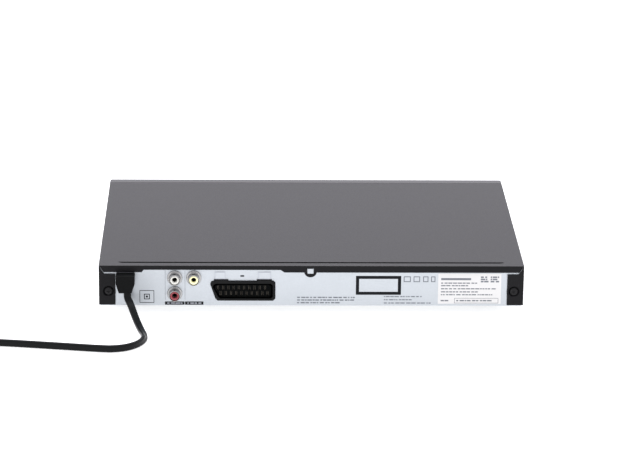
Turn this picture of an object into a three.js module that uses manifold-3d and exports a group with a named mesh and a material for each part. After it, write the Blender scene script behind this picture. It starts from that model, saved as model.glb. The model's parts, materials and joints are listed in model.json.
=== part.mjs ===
// A slim disc player: folded steel cover, pan with its rear panel, moulded front, tray loader
// with its drive, boards, rear sockets, and a flat mains lead wound beside it.
// Millimetres, +Z up. The front faces -Y and the sockets face +Y. The origin is on the floor
// under the middle of the player, and +X is on the right of someone facing the front.
import * as THREE from 'three';
import { mergeVertices } from 'three/addons/utils/BufferGeometryUtils.js';
import Module from 'manifold-3d';

const wasm = await Module();
wasm.setup();

// Driving dimensions
const width = 310;
const depth = 209;
const bodyHeight = 31;
const gap = 0.3;
const running = 0.4;
const overrun = 1;
const roundSides = 24;
const fineSides = 40;
const smallSides = 12;

const foot = { height: 7, radius: 10, chamfer: 1, rearInset: 34, sideInset: 27 };

const cover = {
  sheet: 0.8, lift: 0.8, lipDrop: 5.1, reliefDrop: 3.2, reliefSlope: 2.7, endSlope: 1.5, mitreInset: 1.3,
  mitreDrop: 1.8, mitreGap: 0.6, lipInset: 3.5, flapWidth: 12, flapDrop: 6.6,
};
const reliefShares = { from: 0.1458, to: 0.789 };
const tab = {
  x: 0.9, drop: 4.1, radius: 4.7, rootHalf: 5.8, holeWidth: 4.8, holeHeight: 4.4, bossClear: 0.4,
};
const bead = { inset: 7.4, width: 2.4, depth: 1, endInset: 13.7, taper: 5 };
const dimple = { depth: 1.2, mouth: 4.2, base: 3.1, hole: 1.7, clear: 0.5 };
const screw = { inset: 7, rise: 11.2, head: 2.6, headHeight: 1.6, shank: 1.4, length: 9, recess: 1.1 };
const screwShares = { crown: 0.8, arm: 0.18 };

const pan = { sheet: 0.8, wall: 15, frontLip: 7, rearLip: 5, ear: 18, earWidth: 11.5, earHole: 1.6 };
const slots = { count: 8, pitch: 9, width: 3, length: 24, supplyClear: 19, frontInset: 58.7 };

const panel = { sheet: 0.8, bossOut: 1.2 };
const pad = {
  out: 0.35, height: 5.1, drop: 5.3, rightOffset: 16.75, rightWidth: 7.3, leftOffset: 15.7, leftWidth: 8.8,
};

const fascia = {
  depth: 9, wall: 2.5, strip: 2, slope: 0.1, corner: 3, nose: 0.7, bossRadius: 2.5, bossRise: 24,
  controlRise: 18,
};
const windowPane = { loaderClear: 7.5, keyClear: 11, height: 12, thick: 1.6 };
const button = {
  proud: 0.9, width: 8, height: 4.5, flange: 1, flangeThick: 1, stem: 1.2, travel: 0.6,
};
const keys = { inset: 49, pitch: 11 };
const keyNames = ['stop_button', 'play_button', 'open_button'];
const power = { inset: 17, radius: 5 };
const usb = { inset: 36.4, width: 13.2, height: 5.8, length: 14, shell: 0.4, tongue: 1.9, recess: 0.4,
  tongueWidth: 11.2, back: 2 };
const frontBoard = { loaderClear: 6.5, inset: 7, rise: 3, height: 24, thick: 1.6, setback: 6.5 };

const board = { lift: 1.5, thick: 1.6, bossRadius: 3, bossInset: 6 };
const mainBoard = { loaderClear: 10.5, supplyClear: 4, length: 95 };
const powerBoard = { inset: 5, width: 38, rearInset: 12, length: 140 };
const chip = { offset: 5, rearInset: 46.8, side: 24, height: 1.6 };
const transformer = { rearInset: 77.1, width: 27, length: 24, height: 17, bobbin: 4 };
const capacitor = { inset: 12, rearInset: 25.1, radius: 8, height: 20 };

const jack = {
  barrel: 4.15, wall: 0.55, proud: 6.5, flange: 5.55, flangeThick: 0.8, inside: 8, insert: 3.3,
  insertLength: 7, recess: 0.4, bore: 1.65, hole: 4.6, inset: 55.2, drop: 9.7, columnPitch: 13.9,
  rowPitch: 12.15,
};
const jackCells = [{ name: 'white', column: 0, row: 0 }, { name: 'yellow', column: 1, row: 0 },
  { name: 'red', column: 0, row: 1 }];
const jackBlock = { side: 7, top: 6, length: 12, bore: 4.5 };

const scart = {
  width: 47, height: 14.75, slant: 3.8, corner: 1.4, proud: 1.5, inside: 14, rim: 1.6,
  groove: 1.2, grooveDepth: 6, blockSet: 1, slotWidth: 1.3, slotHeight: 3.5, slotDepth: 4,
  slotPitch: 3.81, slotsPerRow: 10, rowPitch: 4.3, bump: 1, hole: 0.3, jackClear: 5.2,
  bumpRightOffset: 15.8, bumpRightWidth: 9.9, bumpLeftOffset: 15.7, bumpLeftWidth: 10.6,
};

const bush = {
  inset: 19.45, drop: 5.6, width: 13.7, straight: 6.2, height: 13.2, outlet: 9.4, outletShift: 0.1,
  proud: 9, neckWidth: 10, neckTop: 1.9, neckHeight: 8, headWidth: 12.4, headHeight: 10, headThick: 3,
};

// The player stands so that its sockets and buttons reach out alike from the origin.
const panelSetback = cover.sheet + gap;
const middle = -(bush.proud - panelSetback - button.proud) / 2;
const rearFace = middle + depth / 2;
const frontFace = middle - depth / 2;
const panelOut = rearFace - panelSetback;
const panelIn = panelOut - panel.sheet;
const base = foot.height;
const top = base + bodyHeight;
const ceiling = top - cover.sheet;
const panTop = base + pan.sheet;
const innerFront = frontFace + fascia.depth + gap;
const half = width / 2;
const panHalf = half - cover.sheet - gap;
const boardTop = panTop + board.lift + board.thick;

// The loader, about its spindle: lengths from the spindle's line, and heights from the pan's underside
const loader = { inset: 90, half: 72.5, wall: 2, floor: 1.5, lift: 1, top: 24.5, length: 159, beam: 7 };
const tray = {
  half: 68.3, bottom: 16.8, plate: 1.8, rim: 2, recess: 61, small: 40.5, smallDepth: 0.8,
  slot: 19, rearClear: 2.5, discSetback: 66,
};
const spindleX = -half + loader.inset;
const spindleY = frontFace + fascia.wall + tray.discSetback;
const loaderEdge = spindleX + loader.half;
const loaderBase = pan.sheet + loader.lift;
const loaderFloor = loaderBase + loader.floor;
const loaderFront = innerFront + pan.sheet + gap - spindleY;
const loaderRear = loaderFront + loader.length;
const trayRear = loaderRear - tray.rearClear;
const trayFloor = tray.bottom + tray.plate;
const trayRim = trayFloor + tray.rim;
const door = { half: 69, height: 13.4, bottom: 10.5, clear: 0.4 };
const ledge = { width: 4.5, thick: 1.6, clear: 0.4 };
const rack = { x: 60, module: 1, body: 2, bottom: 10.6, front: 58.5, rearInset: 1.4, toothDepth: 1.2 };

const rackRear = trayRear - rack.rearInset;

const trayGear = {
  radius: 10, y: -42.5, bottom: 10.9, thick: 2.7, bore: 1.9, post: 1.5, teeth: 20, tooth: 1.2,
};
const pulleyGear = { radius: 4, pulley: 9, pulleyThick: 2.2, teeth: 10 };
const motor = { x: 6, y: -43.5, radius: 9, height: 9.2, pulley: 3, shaft: 0.8 };
const belt = { thick: 1.2, height: 1.2 };

const bridge = { sheet: 1, bottom: 25.5, half: 16, hole: 10.5 };
const clamp = { disc: 15, discThick: 2.4, neck: 9, cap: 12, capThick: 1.4, bottom: 22.4, lift: 0.5 };

const traverse = {
  half: 45, front: -22.5, rearInset: 8.4, bottom: 8.2, plate: 2, rim: 1.8, rimThick: 1.5, pivotInset: 11.4,
  trunnion: 1.3, trunnionOut: 4.6, windowHalf: 31, windowFront: 18, windowInset: 24.4,
};
const traverseRear = loaderRear - traverse.rearInset;
const pivotY = loaderRear - traverse.pivotInset;
const pivotZ = traverse.bottom + traverse.plate / 2;
const plateTop = traverse.bottom + traverse.plate;
const pivotPost = { inner: 46.4, thick: 3.6, half: 4, rise: 3.4, clear: 0.4 };
const floorWindow = { half: 45.9, front: -24.5, rearInset: 5.4 };
const spindle = { radius: 12.5, bottom: 8.6, top: 17.2, clear: 0.4 };
const table = { radius: 14.5, thick: 2.6, cone: 7.3, tip: 6, coneHeight: 1.8 };
const guide = { x: 24, z: 12.6, radius: 1.3, front: 14, rearInset: 19.9, clear: 0.3 };
const holder = { half: 3, thick: 4, rise: 4.6, front: 13.5, rearInset: 23.4 };
const holderRear = loaderRear - holder.rearInset;
const pickup = {
  lensSetback: 23, half: 28, nose: 19, noseOut: 7, shoulder: 5, tail: 17, bottom: 10.7, top: 15.2,
  opticHalf: 14, opticFront: 3, opticRear: 15, opticBottom: 6.5, slotHalf: 1.8, nutReach: 6.2,
  nutLength: 6, holderHalf: 8, holderFront: 6, holderRear: 8, holderTop: 17.2,
};
const lens = { radius: 4, thick: 1.1, clear: 0.7, crown: 0.5 };
const lensShares = { rim: 0.75, shoulder: 0.45, rise: 0.7 };
const lead = { x: 36, radius: 1.4, front: 21.5, rearInset: 21.4 };
const leadRear = loaderRear - lead.rearInset;
const sled = { radius: 3.7, front: 3.5, rear: 20.9, clear: 0.5 };
const cam = {
  pinX: -20, pinZ: 12.2, pinRadius: 1, pinOut: 8, lug: 3, lugTop: 14, y: -27.2, thick: 2.5, bottom: 3.7,
  top: 15.4, end: 5, travel: 18, drop: 6.071, slot: 1.45, ribHeight: 0.9, ribThick: 1.2, ribClear: 0.4,
};
const ribbon = { thick: 0.4, width: 16, rearInset: 69.1, overlap: 9, rise: 12, bendRadius: 3 };

// Places across the player that follow its sides and the loader
const bushX = half - bush.inset;
const bushTop = top - bush.drop;
const jackLow = half - jack.inset - jack.columnPitch - jackBlock.side;
const scartX = jackLow - scart.jackClear - scart.width / 2;
const padPlaces = [
  { x: scartX + pad.rightOffset, width: pad.rightWidth },
  { x: scartX - pad.leftOffset, width: pad.leftWidth },
];
const scartBumps = [
  { x: scartX + scart.bumpRightOffset, width: scart.bumpRightWidth },
  { x: scartX - scart.bumpLeftOffset, width: scart.bumpLeftWidth },
];
const supplyHigh = half - powerBoard.inset;
const supplyLow = supplyHigh - powerBoard.width;
const mainLow = loaderEdge + mainBoard.loaderClear;
const mainHigh = supplyLow - mainBoard.supplyClear;
const controlZ = base + fascia.controlRise;
const usbX = half - usb.inset;
const powerX = half - power.inset;
const keyPlaces = keyNames.map((name, i) => ({ name, x: half - keys.inset - i * keys.pitch }));
const paneLow = loaderEdge + windowPane.loaderClear;
const paneHigh = half - keys.inset - (keyNames.length - 1) * keys.pitch - windowPane.keyClear;
const frontBoardLow = loaderEdge + frontBoard.loaderClear;
const frontBoardHigh = half - frontBoard.inset;
const jackPlaces = jackCells.map(({ name, column, row }) => ({
  name, x: half - jack.inset - column * jack.columnPitch, z: top - jack.drop - row * jack.rowPitch,
}));

// The mains lead: a flat twin cord that comes down flat, and stands on edge along the floor and in its
// coil. The coil and the plug have their places from the bush's middle on the panel's outer face.
const cord = { wide: 5.4, thin: 3.2, steps: 21, tailSteps: 4 };
const coil = { x: 134.45, y: 27.6, outer: 37.5, pitch: 4.2, turns: 7.25, steps: 24, layerGap: 0.45 };
const tie = { thick: 0.5, width: 3.5, clear: 0.6 };
const coilLow = cord.wide / 2 + tie.thick + gap;
const coilHigh = coilLow + cord.wide + coil.layerGap;
const plug = {
  x: 171.75, y: -6.2, thick: 13.7, width: 35.3, neck: 11, neckLength: 13.5, flare: 7, face: 8.5,
  shoulder: 7, corner: 1.4,
};
const pin = { radius: 2, length: 19, spacing: 18.6, tip: 0.8 };

// The lead from under the bush to the coil, and from the coil to the plug, as it lies, counted from
// the bush's middle on the panel's outer face, and up from the floor
const cordRoute = [
  [-1.45, 5.9, 18.6], [-1.65, 6.5, 15.2], [-4.05, 10.1, 10.7], [-6.45, 17.1, 6.9],
  [-9.25, 27.1, 3.9], [-12.45, 39.1, 2.15], [-14.55, 48.6, 2.25], [-14.95, 59.0, 2.85],
  [-10.95, 68.5, 2.85], [-3.25, 75.4, 2.8], [6.65, 78.4, 2.8], [16.45, 77.7, 2.8],
  [34.45, 74.7, 2.8], [56.45, 71.0, 2.8], [78.45, 67.7, 2.9], [100.45, 65.7, 3.1],
  [116.45, 65.1, 3.4], [128.75, 65.1, 3.5],
];
const tailRoute = [
  [171.95, 21.9, 9.35], [171.95, 16.6, 8.9], [171.85, 7.6, 7.3], [171.75, 0.6, 6.85],
  [171.75, -5.9, 6.85],
];

// Finishes
function finish(color, roughness, metalness = 0) {
  return new THREE.MeshStandardMaterial({ color, roughness, metalness });
}
const paint = finish(0x2b2b2e, 0.42);
const zinc = finish(0xd6d9de, 0.35, 0.9);
const blackPlastic = finish(0x232324, 0.5);
const darkPlastic = finish(0x1a1a1b, 0.35);
const greyPlastic = finish(0x6b6c70, 0.5);
const smoked = finish(0x0c0c10, 0.12);
const rubber = finish(0x1d1d1d, 0.85);
const cordSkin = finish(0x222222, 0.6);
const boardGreen = finish(0x2f6b3a, 0.55);
const boardTan = finish(0xb08a4e, 0.6);
const brass = finish(0xc9a24e, 0.3, 0.9);
const steel = finish(0xb9bbbf, 0.3, 0.95);
const whitePlastic = finish(0xf0efe8, 0.4);
const yellowPlastic = finish(0xd8cf74, 0.4);
const redPlastic = finish(0xa02226, 0.4);
const ferrite = finish(0x3c3a38, 0.7);
const ribbonFilm = finish(0xe9ecef, 0.5);
const glass = finish(0xa9bfd0, 0.08);

// Solid building
function solid(geometry) {
  const bare = geometry.clone();
  bare.deleteAttribute('normal');
  bare.deleteAttribute('uv');
  const merged = mergeVertices(bare);
  return new wasm.Manifold(new wasm.Mesh({
    numProp: 3,
    vertProperties: new Float32Array(merged.attributes.position.array),
    triVerts: new Uint32Array(merged.index.array),
  }));
}

function join(...pieces) {
  return pieces.reduce((a, b) => a.add(b));
}

function cut(body, ...tools) {
  return tools.reduce((a, b) => a.subtract(b), body);
}

function block(x0, x1, y0, y1, z0, z1) {
  const box = new THREE.BoxGeometry(x1 - x0, y1 - y0, z1 - z0);
  box.translate((x0 + x1) / 2, (y0 + y1) / 2, (z0 + z1) / 2);
  return solid(box);
}

// Turns a piece drawn along +Z, with its outline's u and v on X and Y, to stand along an axis:
// along x the outline lies in Y and Z, and along y it lies in X and Z.
function turn(geometry, axis) {
  const x = new THREE.Vector3(1, 0, 0);
  const y = new THREE.Vector3(0, 1, 0);
  const z = new THREE.Vector3(0, 0, 1);
  const basis = new THREE.Matrix4();
  if (axis === 'x') basis.makeBasis(y, z, x);
  if (axis === 'y') basis.makeBasis(x, z, y.negate());
  geometry.applyMatrix4(basis);
  return geometry;
}

function prism(axis, points, low, high, holes = []) {
  const shape = new THREE.Shape(points.map(([u, v]) => new THREE.Vector2(u, v)));
  for (const hole of holes) {
    shape.holes.push(new THREE.Path(hole.map(([u, v]) => new THREE.Vector2(u, v))));
  }
  const bar = new THREE.ExtrudeGeometry(shape, { depth: high - low, bevelEnabled: false });
  turn(bar, axis);
  if (axis === 'x') bar.translate(low, 0, 0);
  if (axis === 'y') bar.translate(0, high, 0);
  if (axis === 'z') bar.translate(0, 0, low);
  return solid(bar);
}

// A turned piece from a profile of [radius, place along the axis] pairs that starts and ends on the axis
function turned(axis, profile, u = 0, v = 0, sides = roundSides) {
  const body = new THREE.LatheGeometry(profile.map(([r, h]) => new THREE.Vector2(r, h)), sides);
  body.rotateX(Math.PI / 2);
  if (axis === 'x') body.rotateY(Math.PI / 2).translate(0, u, v);
  if (axis === 'y') body.rotateX(-Math.PI / 2).translate(u, 0, v);
  if (axis === 'z') body.translate(u, v, 0);
  return solid(body);
}

function cylinder(axis, radius, low, high, u = 0, v = 0, sides = roundSides) {
  return turned(axis, [[0, low], [radius, low], [radius, high], [0, high]], u, v, sides);
}

function arc(u, v, radius, from, to, steps) {
  const points = [];
  for (let i = 0; i <= steps; i += 1) {
    const angle = from + (to - from) * i / steps;
    points.push([u + radius * Math.cos(angle), v + radius * Math.sin(angle)]);
  }
  return points;
}

function gearOutline(teeth, radius, tooth) {
  const points = [];
  const toothShares = [[-0.32, 0], [-0.18, 1], [0.18, 1], [0.32, 0]];
  for (let i = 0; i < teeth; i += 1) {
    for (const [place, rise] of toothShares) {
      const angle = (i + place) * 2 * Math.PI / teeth;
      const reach = radius - tooth * (1 - rise);
      points.push([reach * Math.cos(angle), reach * Math.sin(angle)]);
    }
  }
  return points;
}

const player = new THREE.Group();
const loaderGroup = new THREE.Group();
loaderGroup.position.set(spindleX, spindleY, base);
player.add(loaderGroup);
const leadGroup = new THREE.Group();
leadGroup.position.set(bushX, panelOut, 0);
player.add(leadGroup);

function geometryOf(body) {
  const data = body.getMesh();
  const geometry = new THREE.BufferGeometry();
  geometry.setAttribute('position', new THREE.BufferAttribute(new Float32Array(data.vertProperties), 3));
  geometry.setIndex(new THREE.BufferAttribute(new Uint32Array(data.triVerts), 1));
  geometry.computeVertexNormals();
  return geometry;
}

function place(group, name, body, material, x = 0, y = 0, z = 0) {
  const geometry = body.isBufferGeometry ? body : geometryOf(body);
  const mesh = new THREE.Mesh(geometry, material.clone());
  mesh.name = name;
  mesh.position.set(x, y, z);
  group.add(mesh);
  return mesh;
}

// Cover: top and sides in one folded sheet, with a rear lip, a round tab and two rear flaps
function makeCover() {
  const s = cover.sheet;
  const bottom = base + cover.lift;
  const shell = cut(
    block(-half, half, innerFront, rearFace, bottom, top),
    block(-half + s, half - s, innerFront - overrun, rearFace + overrun, bottom - overrun, top - s),
  );
  const lipBottom = top - cover.lipDrop;
  const relief = top - cover.reliefDrop;
  const reliefFrom = half * reliefShares.from;
  const reliefTo = half * reliefShares.to;
  const mitre = top - cover.mitreDrop;
  const tabZ = top - tab.drop;
  const lipEnd = half - cover.lipInset;
  const mitreEnd = half - cover.mitreInset;
  const tabTurn = Math.asin((tabZ - lipBottom) / tab.radius);
  const lip = prism('y', [
    [-mitreEnd, top - s / 2], [-mitreEnd, mitre], [-lipEnd, lipBottom], [tab.x - tab.rootHalf, lipBottom],
    ...arc(tab.x, tabZ, tab.radius, Math.PI + tabTurn, 2 * Math.PI - tabTurn, 12),
    [tab.x + tab.rootHalf, lipBottom], [reliefFrom - cover.reliefSlope, lipBottom],
    [reliefFrom, relief], [reliefTo, relief],
    [reliefTo + cover.endSlope, lipBottom], [lipEnd, lipBottom], [mitreEnd, mitre],
    [mitreEnd, top - s / 2],
  ], rearFace - s, rearFace);
  // Each flap runs up its side to the corner, along the mitred end of the lip
  const flapTop = top - cover.flapDrop;
  const mitreLean = (mitreEnd - lipEnd) / (mitre - lipBottom);
  const mitreFoot = lipEnd + cover.mitreGap - mitreLean * (lipBottom - flapTop);
  const flaps = [-1, 1].map((side) => {
    const outline = [
      [half - cover.flapWidth, bottom], [half - s / 2, bottom], [half - s / 2, mitre],
      [mitreEnd + cover.mitreGap, mitre], [mitreFoot, flapTop], [half - cover.flapWidth, flapTop],
    ];
    return prism('y', outline.map(([x, z]) => [side * x, z]), rearFace - s, rearFace);
  });
  const beadY = rearFace - bead.inset;
  const beadHalf = half - bead.endInset;
  const trough = block(
    -beadHalf, beadHalf, beadY - bead.width / 2 - s, beadY + bead.width / 2 + s,
    top - s - bead.depth, top - s / 2,
  );
  const groove = prism('y', [
    [-beadHalf, top + overrun], [-beadHalf, top], [-beadHalf + bead.taper, top - bead.depth],
    [beadHalf - bead.taper, top - bead.depth], [beadHalf, top], [beadHalf, top + overrun],
  ], beadY - bead.width / 2, beadY + bead.width / 2);
  const screwX = half - screw.inset;
  const screwZ = base + screw.rise;
  const cups = [];
  const cupHollows = [];
  for (const side of [-1, 1]) {
    cups.push(turned('y', [
      [0, rearFace - s - dimple.depth], [dimple.base + s, rearFace - s - dimple.depth],
      [dimple.mouth + s, rearFace - s], [dimple.mouth + s, rearFace - s / 2], [0, rearFace - s / 2],
    ], side * screwX, screwZ));
    cupHollows.push(turned('y', [
      [0, rearFace - s - dimple.depth - overrun], [dimple.hole, rearFace - s - dimple.depth - overrun],
      [dimple.hole, rearFace - dimple.depth], [dimple.base, rearFace - dimple.depth],
      [dimple.mouth, rearFace], [dimple.mouth, rearFace + overrun], [0, rearFace + overrun],
    ], side * screwX, screwZ));
  }
  const tabHole = block(
    tab.x - tab.holeWidth / 2, tab.x + tab.holeWidth / 2, rearFace - s - overrun, rearFace + overrun,
    tabZ - tab.holeHeight / 2, tabZ + tab.holeHeight / 2,
  );
  const body = cut(join(shell, lip, ...flaps, trough, ...cups), groove, tabHole, ...cupHollows);
  place(player, 'top_cover', body, paint);
}

// Pan: the floor with its side walls, lips, screw ears, standoffs and vents
function makePan() {
  const t = pan.sheet;
  const rear = panelIn - gap;
  const bossTop = panTop + board.lift - gap;
  const pieces = [
    block(-panHalf, panHalf, innerFront, rear, base, base + t),
    block(-panHalf, -panHalf + t, innerFront, rear, base, base + pan.wall),
    block(panHalf - t, panHalf, innerFront, rear, base, base + pan.wall),
    block(-panHalf, panHalf, rear - t, rear, base, base + pan.rearLip - t),
    block(-panHalf, panHalf, innerFront, innerFront + t, base, base + pan.frontLip),
    block(-panHalf, -panHalf + pan.earWidth, rear - t, rear, base, base + pan.ear),
    block(panHalf - pan.earWidth, panHalf, rear - t, rear, base, base + pan.ear),
  ];
  const supplyRear = panelIn - powerBoard.rearInset;
  const boards = [
    { low: mainLow, high: mainHigh, rearEdge: panelIn - gap, length: mainBoard.length },
    { low: supplyLow, high: supplyHigh, rearEdge: supplyRear, length: powerBoard.length },
  ];
  for (const { low, high, rearEdge, length } of boards) {
    for (const x of [low + board.bossInset, high - board.bossInset]) {
      for (const y of [rearEdge - length + board.bossInset, rearEdge - board.bossInset]) {
        pieces.push(cylinder('z', board.bossRadius, base, bossTop, x, y, smallSides));
      }
    }
  }
  const loaderBoss = board.bossRadius + board.thick;
  for (const side of [-1, 1]) {
    for (const y of [loaderFront + 2 * loaderBoss, loaderRear - 2 * loaderBoss]) {
      const x = spindleX + side * (loader.half - loaderBoss);
      pieces.push(cylinder(
        'z', loaderBoss, base, panTop + loader.lift - gap, x, spindleY + y, smallSides,
      ));
    }
  }
  const holes = [];
  for (let i = 0; i < slots.count; i += 1) {
    const x = supplyLow - slots.supplyClear - i * slots.pitch;
    const y = innerFront + slots.frontInset;
    holes.push(block(
      x - slots.width / 2, x + slots.width / 2, y - slots.length / 2, y + slots.length / 2,
      base - overrun, panTop + overrun,
    ));
  }
  for (const side of [-1, 1]) {
    holes.push(cylinder(
      'y', pan.earHole, rear - t - overrun, rear + overrun, side * (half - screw.inset),
      base + screw.rise, smallSides,
    ));
  }
  place(player, 'bottom_chassis', cut(join(...pieces), ...holes), zinc);
}

// The outline of the long socket seen from behind, drawn in by an inset
function scartOutline(inset) {
  const low = boardTop + gap + inset;
  const high = boardTop + gap + scart.height - inset;
  const left = scartX - scart.width / 2 + inset;
  const right = scartX + scart.width / 2 - inset;
  const c = scart.corner;
  return [
    [left, low + c], [left + c, low], [right - scart.slant - c, low], [right - scart.slant, low + c],
    [right, high - 2 * c], [right - c / 2, high - c / 2], [right - 2 * c, high], [left + c, high],
    [left, high - c],
  ];
}

// Rear panel: holes for the sockets, the bush and the cover's screw cups, a boss for the tab
function makeRearPanel() {
  const y0 = panelIn;
  const y1 = panelOut;
  const tabZ = top - tab.drop;
  const padTop = top - pad.drop;
  const bossWide = tab.holeWidth / 2 - tab.bossClear;
  const bossHigh = tab.holeHeight / 2 - tab.bossClear;
  const pieces = [
    block(-panHalf, panHalf, y0, y1, base, ceiling - gap),
    block(
      tab.x - bossWide, tab.x + bossWide, y1 - panel.sheet / 2, y1 + panel.bossOut,
      tabZ - bossHigh, tabZ + bossHigh,
    ),
  ];
  for (const { x, width: wide } of padPlaces) {
    pieces.push(block(x - wide / 2, x + wide / 2, y0, y1 + pad.out, padTop - pad.height, padTop));
  }
  const holes = [prism('y', scartOutline(-scart.hole), y0 - overrun, y1 + overrun)];
  for (const bump of scartBumps) {
    holes.push(block(
      bump.x - bump.width / 2 - scart.hole, bump.x + bump.width / 2 + scart.hole, y0 - overrun, y1 + overrun,
      boardTop + scart.height / 2, boardTop + gap + scart.height + scart.bump + scart.hole,
    ));
  }
  for (const { x, z } of jackPlaces) {
    holes.push(cylinder('y', jack.hole, y0 - overrun, y1 + overrun, x, z));
  }
  for (const side of [-1, 1]) {
    holes.push(cylinder(
      'y', dimple.mouth + cover.sheet + dimple.clear, y0 - overrun, y1 + overrun,
      side * (half - screw.inset), base + screw.rise,
    ));
  }
  holes.push(block(
    bushX - bush.neckWidth / 2 - gap, bushX + bush.neckWidth / 2 + gap, y0 - overrun, y1 + overrun,
    bushTop - bush.neckTop - bush.neckHeight - gap, bushTop - bush.neckTop + gap,
  ));
  place(player, 'rear_panel', cut(join(...pieces), ...holes), zinc);
}

// Front panel: a moulded frame with the tray's mouth, the window and the button holes
function makeFrontPanel() {
  const y0 = frontFace;
  const y1 = frontFace + fascia.depth;
  const n = fascia.nose;
  const side = prism('x', [
    [y1, base], [y1, top], [y0 + n, top - fascia.slope], [y0, top - fascia.slope - n],
    [y0, base + n], [y0 + n, base],
  ], -half, half);
  const c = fascia.corner;
  const plan = prism('z', [
    [half, y1], [-half, y1],
    ...arc(-half + c, y0 + c, c, Math.PI, 1.5 * Math.PI, 6),
    ...arc(half - c, y0 + c, c, 1.5 * Math.PI, 2 * Math.PI, 6),
  ], base - overrun, top + overrun);
  const cavity = block(
    -half + fascia.wall, half - fascia.wall, y0 + fascia.wall, y1 + overrun,
    base + fascia.strip, top - fascia.strip - fascia.slope,
  );
  const through = [y0 - overrun, y0 + fascia.wall + overrun];
  const holes = [
    block(
      spindleX - door.half - door.clear, spindleX + door.half + door.clear, ...through,
      base + door.bottom - door.clear, base + door.bottom + door.height + door.clear,
    ),
    block(
      paneLow - gap, paneHigh + gap, ...through,
      controlZ - windowPane.height / 2 - gap, controlZ + windowPane.height / 2 + gap,
    ),
    block(
      usbX - usb.width / 2 - gap, usbX + usb.width / 2 + gap, ...through,
      controlZ - usb.height / 2 - gap, controlZ + usb.height / 2 + gap,
    ),
    cylinder('y', power.radius + gap, ...through, powerX, controlZ),
  ];
  for (const key of keyPlaces) {
    holes.push(block(
      key.x - button.width / 2 - gap, key.x + button.width / 2 + gap, ...through,
      controlZ - button.height / 2 - gap, controlZ + button.height / 2 + gap,
    ));
  }
  const bosses = [];
  for (const x of [frontBoardLow + fascia.bossRadius, frontBoardHigh - fascia.bossRadius]) {
    bosses.push(cylinder(
      'y', fascia.bossRadius, y0 + fascia.wall / 2, y0 + frontBoard.setback - gap, x,
      base + fascia.bossRise, smallSides,
    ));
  }
  const frame = cut(side.intersect(plan), cavity);
  place(player, 'front_panel', cut(join(frame, ...bosses), ...holes), greyPlastic);
  const pane = block(
    paneLow, paneHigh, 0, windowPane.thick, -windowPane.height / 2, windowPane.height / 2,
  );
  place(player, 'display_window', pane, smoked, 0, frontFace, controlZ);
}

// Buttons: each has a cap, a flange behind the front wall and a stem towards its switch
function makeButtons() {
  const wall = fascia.wall;
  const flange0 = wall + gap + button.travel / 2;
  const flange1 = flange0 + button.flangeThick;
  const stemEnd = frontBoard.setback - gap - button.travel;
  const stem = cylinder('y', button.stem, flange1 - button.flangeThick / 2, stemEnd, 0, 0, smallSides);
  const w = button.width / 2;
  const h = button.height / 2;
  const f = button.flange;
  for (const key of keyPlaces) {
    const cap = join(
      block(-w, w, -button.proud, flange1, -h, h),
      block(-w - f, w + f, flange0, flange1, -h - f, h + f),
      stem,
    );
    place(player, key.name, cap, darkPlastic, key.x, frontFace, controlZ);
  }
  const round = join(
    turned('y', [
      [0, -button.proud], [power.radius, -button.proud], [power.radius, flange0],
      [power.radius + f, flange0], [power.radius + f, flange1], [0, flange1],
    ]),
    stem,
  );
  place(player, 'power_button', round, darkPlastic, powerX, frontFace, controlZ);
}

// Front board with its cut-out for the small socket, and that socket
function makeFrontBoard() {
  const y0 = frontFace + frontBoard.setback;
  const z0 = base + frontBoard.rise;
  const hw = usb.width / 2;
  const hh = usb.height / 2;
  const body = cut(
    block(frontBoardLow, frontBoardHigh, y0, y0 + frontBoard.thick, z0, z0 + frontBoard.height),
    block(
      usbX - hw - gap, usbX + hw + gap, y0 - overrun, y0 + frontBoard.thick + overrun,
      controlZ - hh - gap, controlZ + hh + gap,
    ),
  );
  place(player, 'front_board', body, boardGreen);
  const iw = hw - usb.shell;
  const ih = hh - usb.shell;
  const tw = usb.tongueWidth / 2;
  const th = usb.tongue / 2;
  const end = usb.recess + usb.length;
  const socket = join(
    cut(block(-hw, hw, usb.recess, end, -hh, hh), block(-iw, iw, 0, end - usb.back, -ih, ih)),
    block(-tw, tw, usb.recess + usb.back, end - usb.back / 2, -th, th),
  );
  place(player, 'usb_socket', socket, steel, usbX, frontFace, controlZ);
}

// Feet and cover screws
function makeFeetAndScrews() {
  const h = foot.height - gap;
  const body = turned('z', [
    [0, 0], [foot.radius - foot.chamfer, 0], [foot.radius, foot.chamfer], [foot.radius, h], [0, h],
  ]);
  const rows = { front: frontFace + foot.rearInset, rear: rearFace - foot.rearInset };
  const sides = { left: -(half - foot.sideInset), right: half - foot.sideInset };
  for (const [row, y] of Object.entries(rows)) {
    for (const [side, x] of Object.entries(sides)) {
      place(player, `foot_${row}_${side}`, body, rubber, x, y);
    }
  }
  const seat = -screw.recess + gap;
  const bolt = join(
    turned('y', [
      [0, seat], [screw.head, seat], [screw.head, seat + screw.headHeight / 2],
      [screw.head * screwShares.crown, seat + screw.headHeight], [0, seat + screw.headHeight],
    ], 0, 0, smallSides),
    cylinder('y', screw.shank, seat - screw.length, seat + screw.headHeight / 2, 0, 0, smallSides),
  );
  const deep = screw.headHeight / 2;
  const arm = screw.head * screwShares.arm;
  const reach = screw.head / 2;
  const cross = join(
    block(-reach, reach, seat + deep, seat + screw.headHeight + overrun, -arm, arm),
    block(-arm, arm, seat + deep, seat + screw.headHeight + overrun, -reach, reach),
  );
  const shaped = cut(bolt, cross);
  for (const side of [-1, 1]) {
    const name = side < 0 ? 'cover_screw_left' : 'cover_screw_right';
    place(player, name, shaped, blackPlastic, side * (half - screw.inset), rearFace, base + screw.rise);
  }
}

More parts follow.
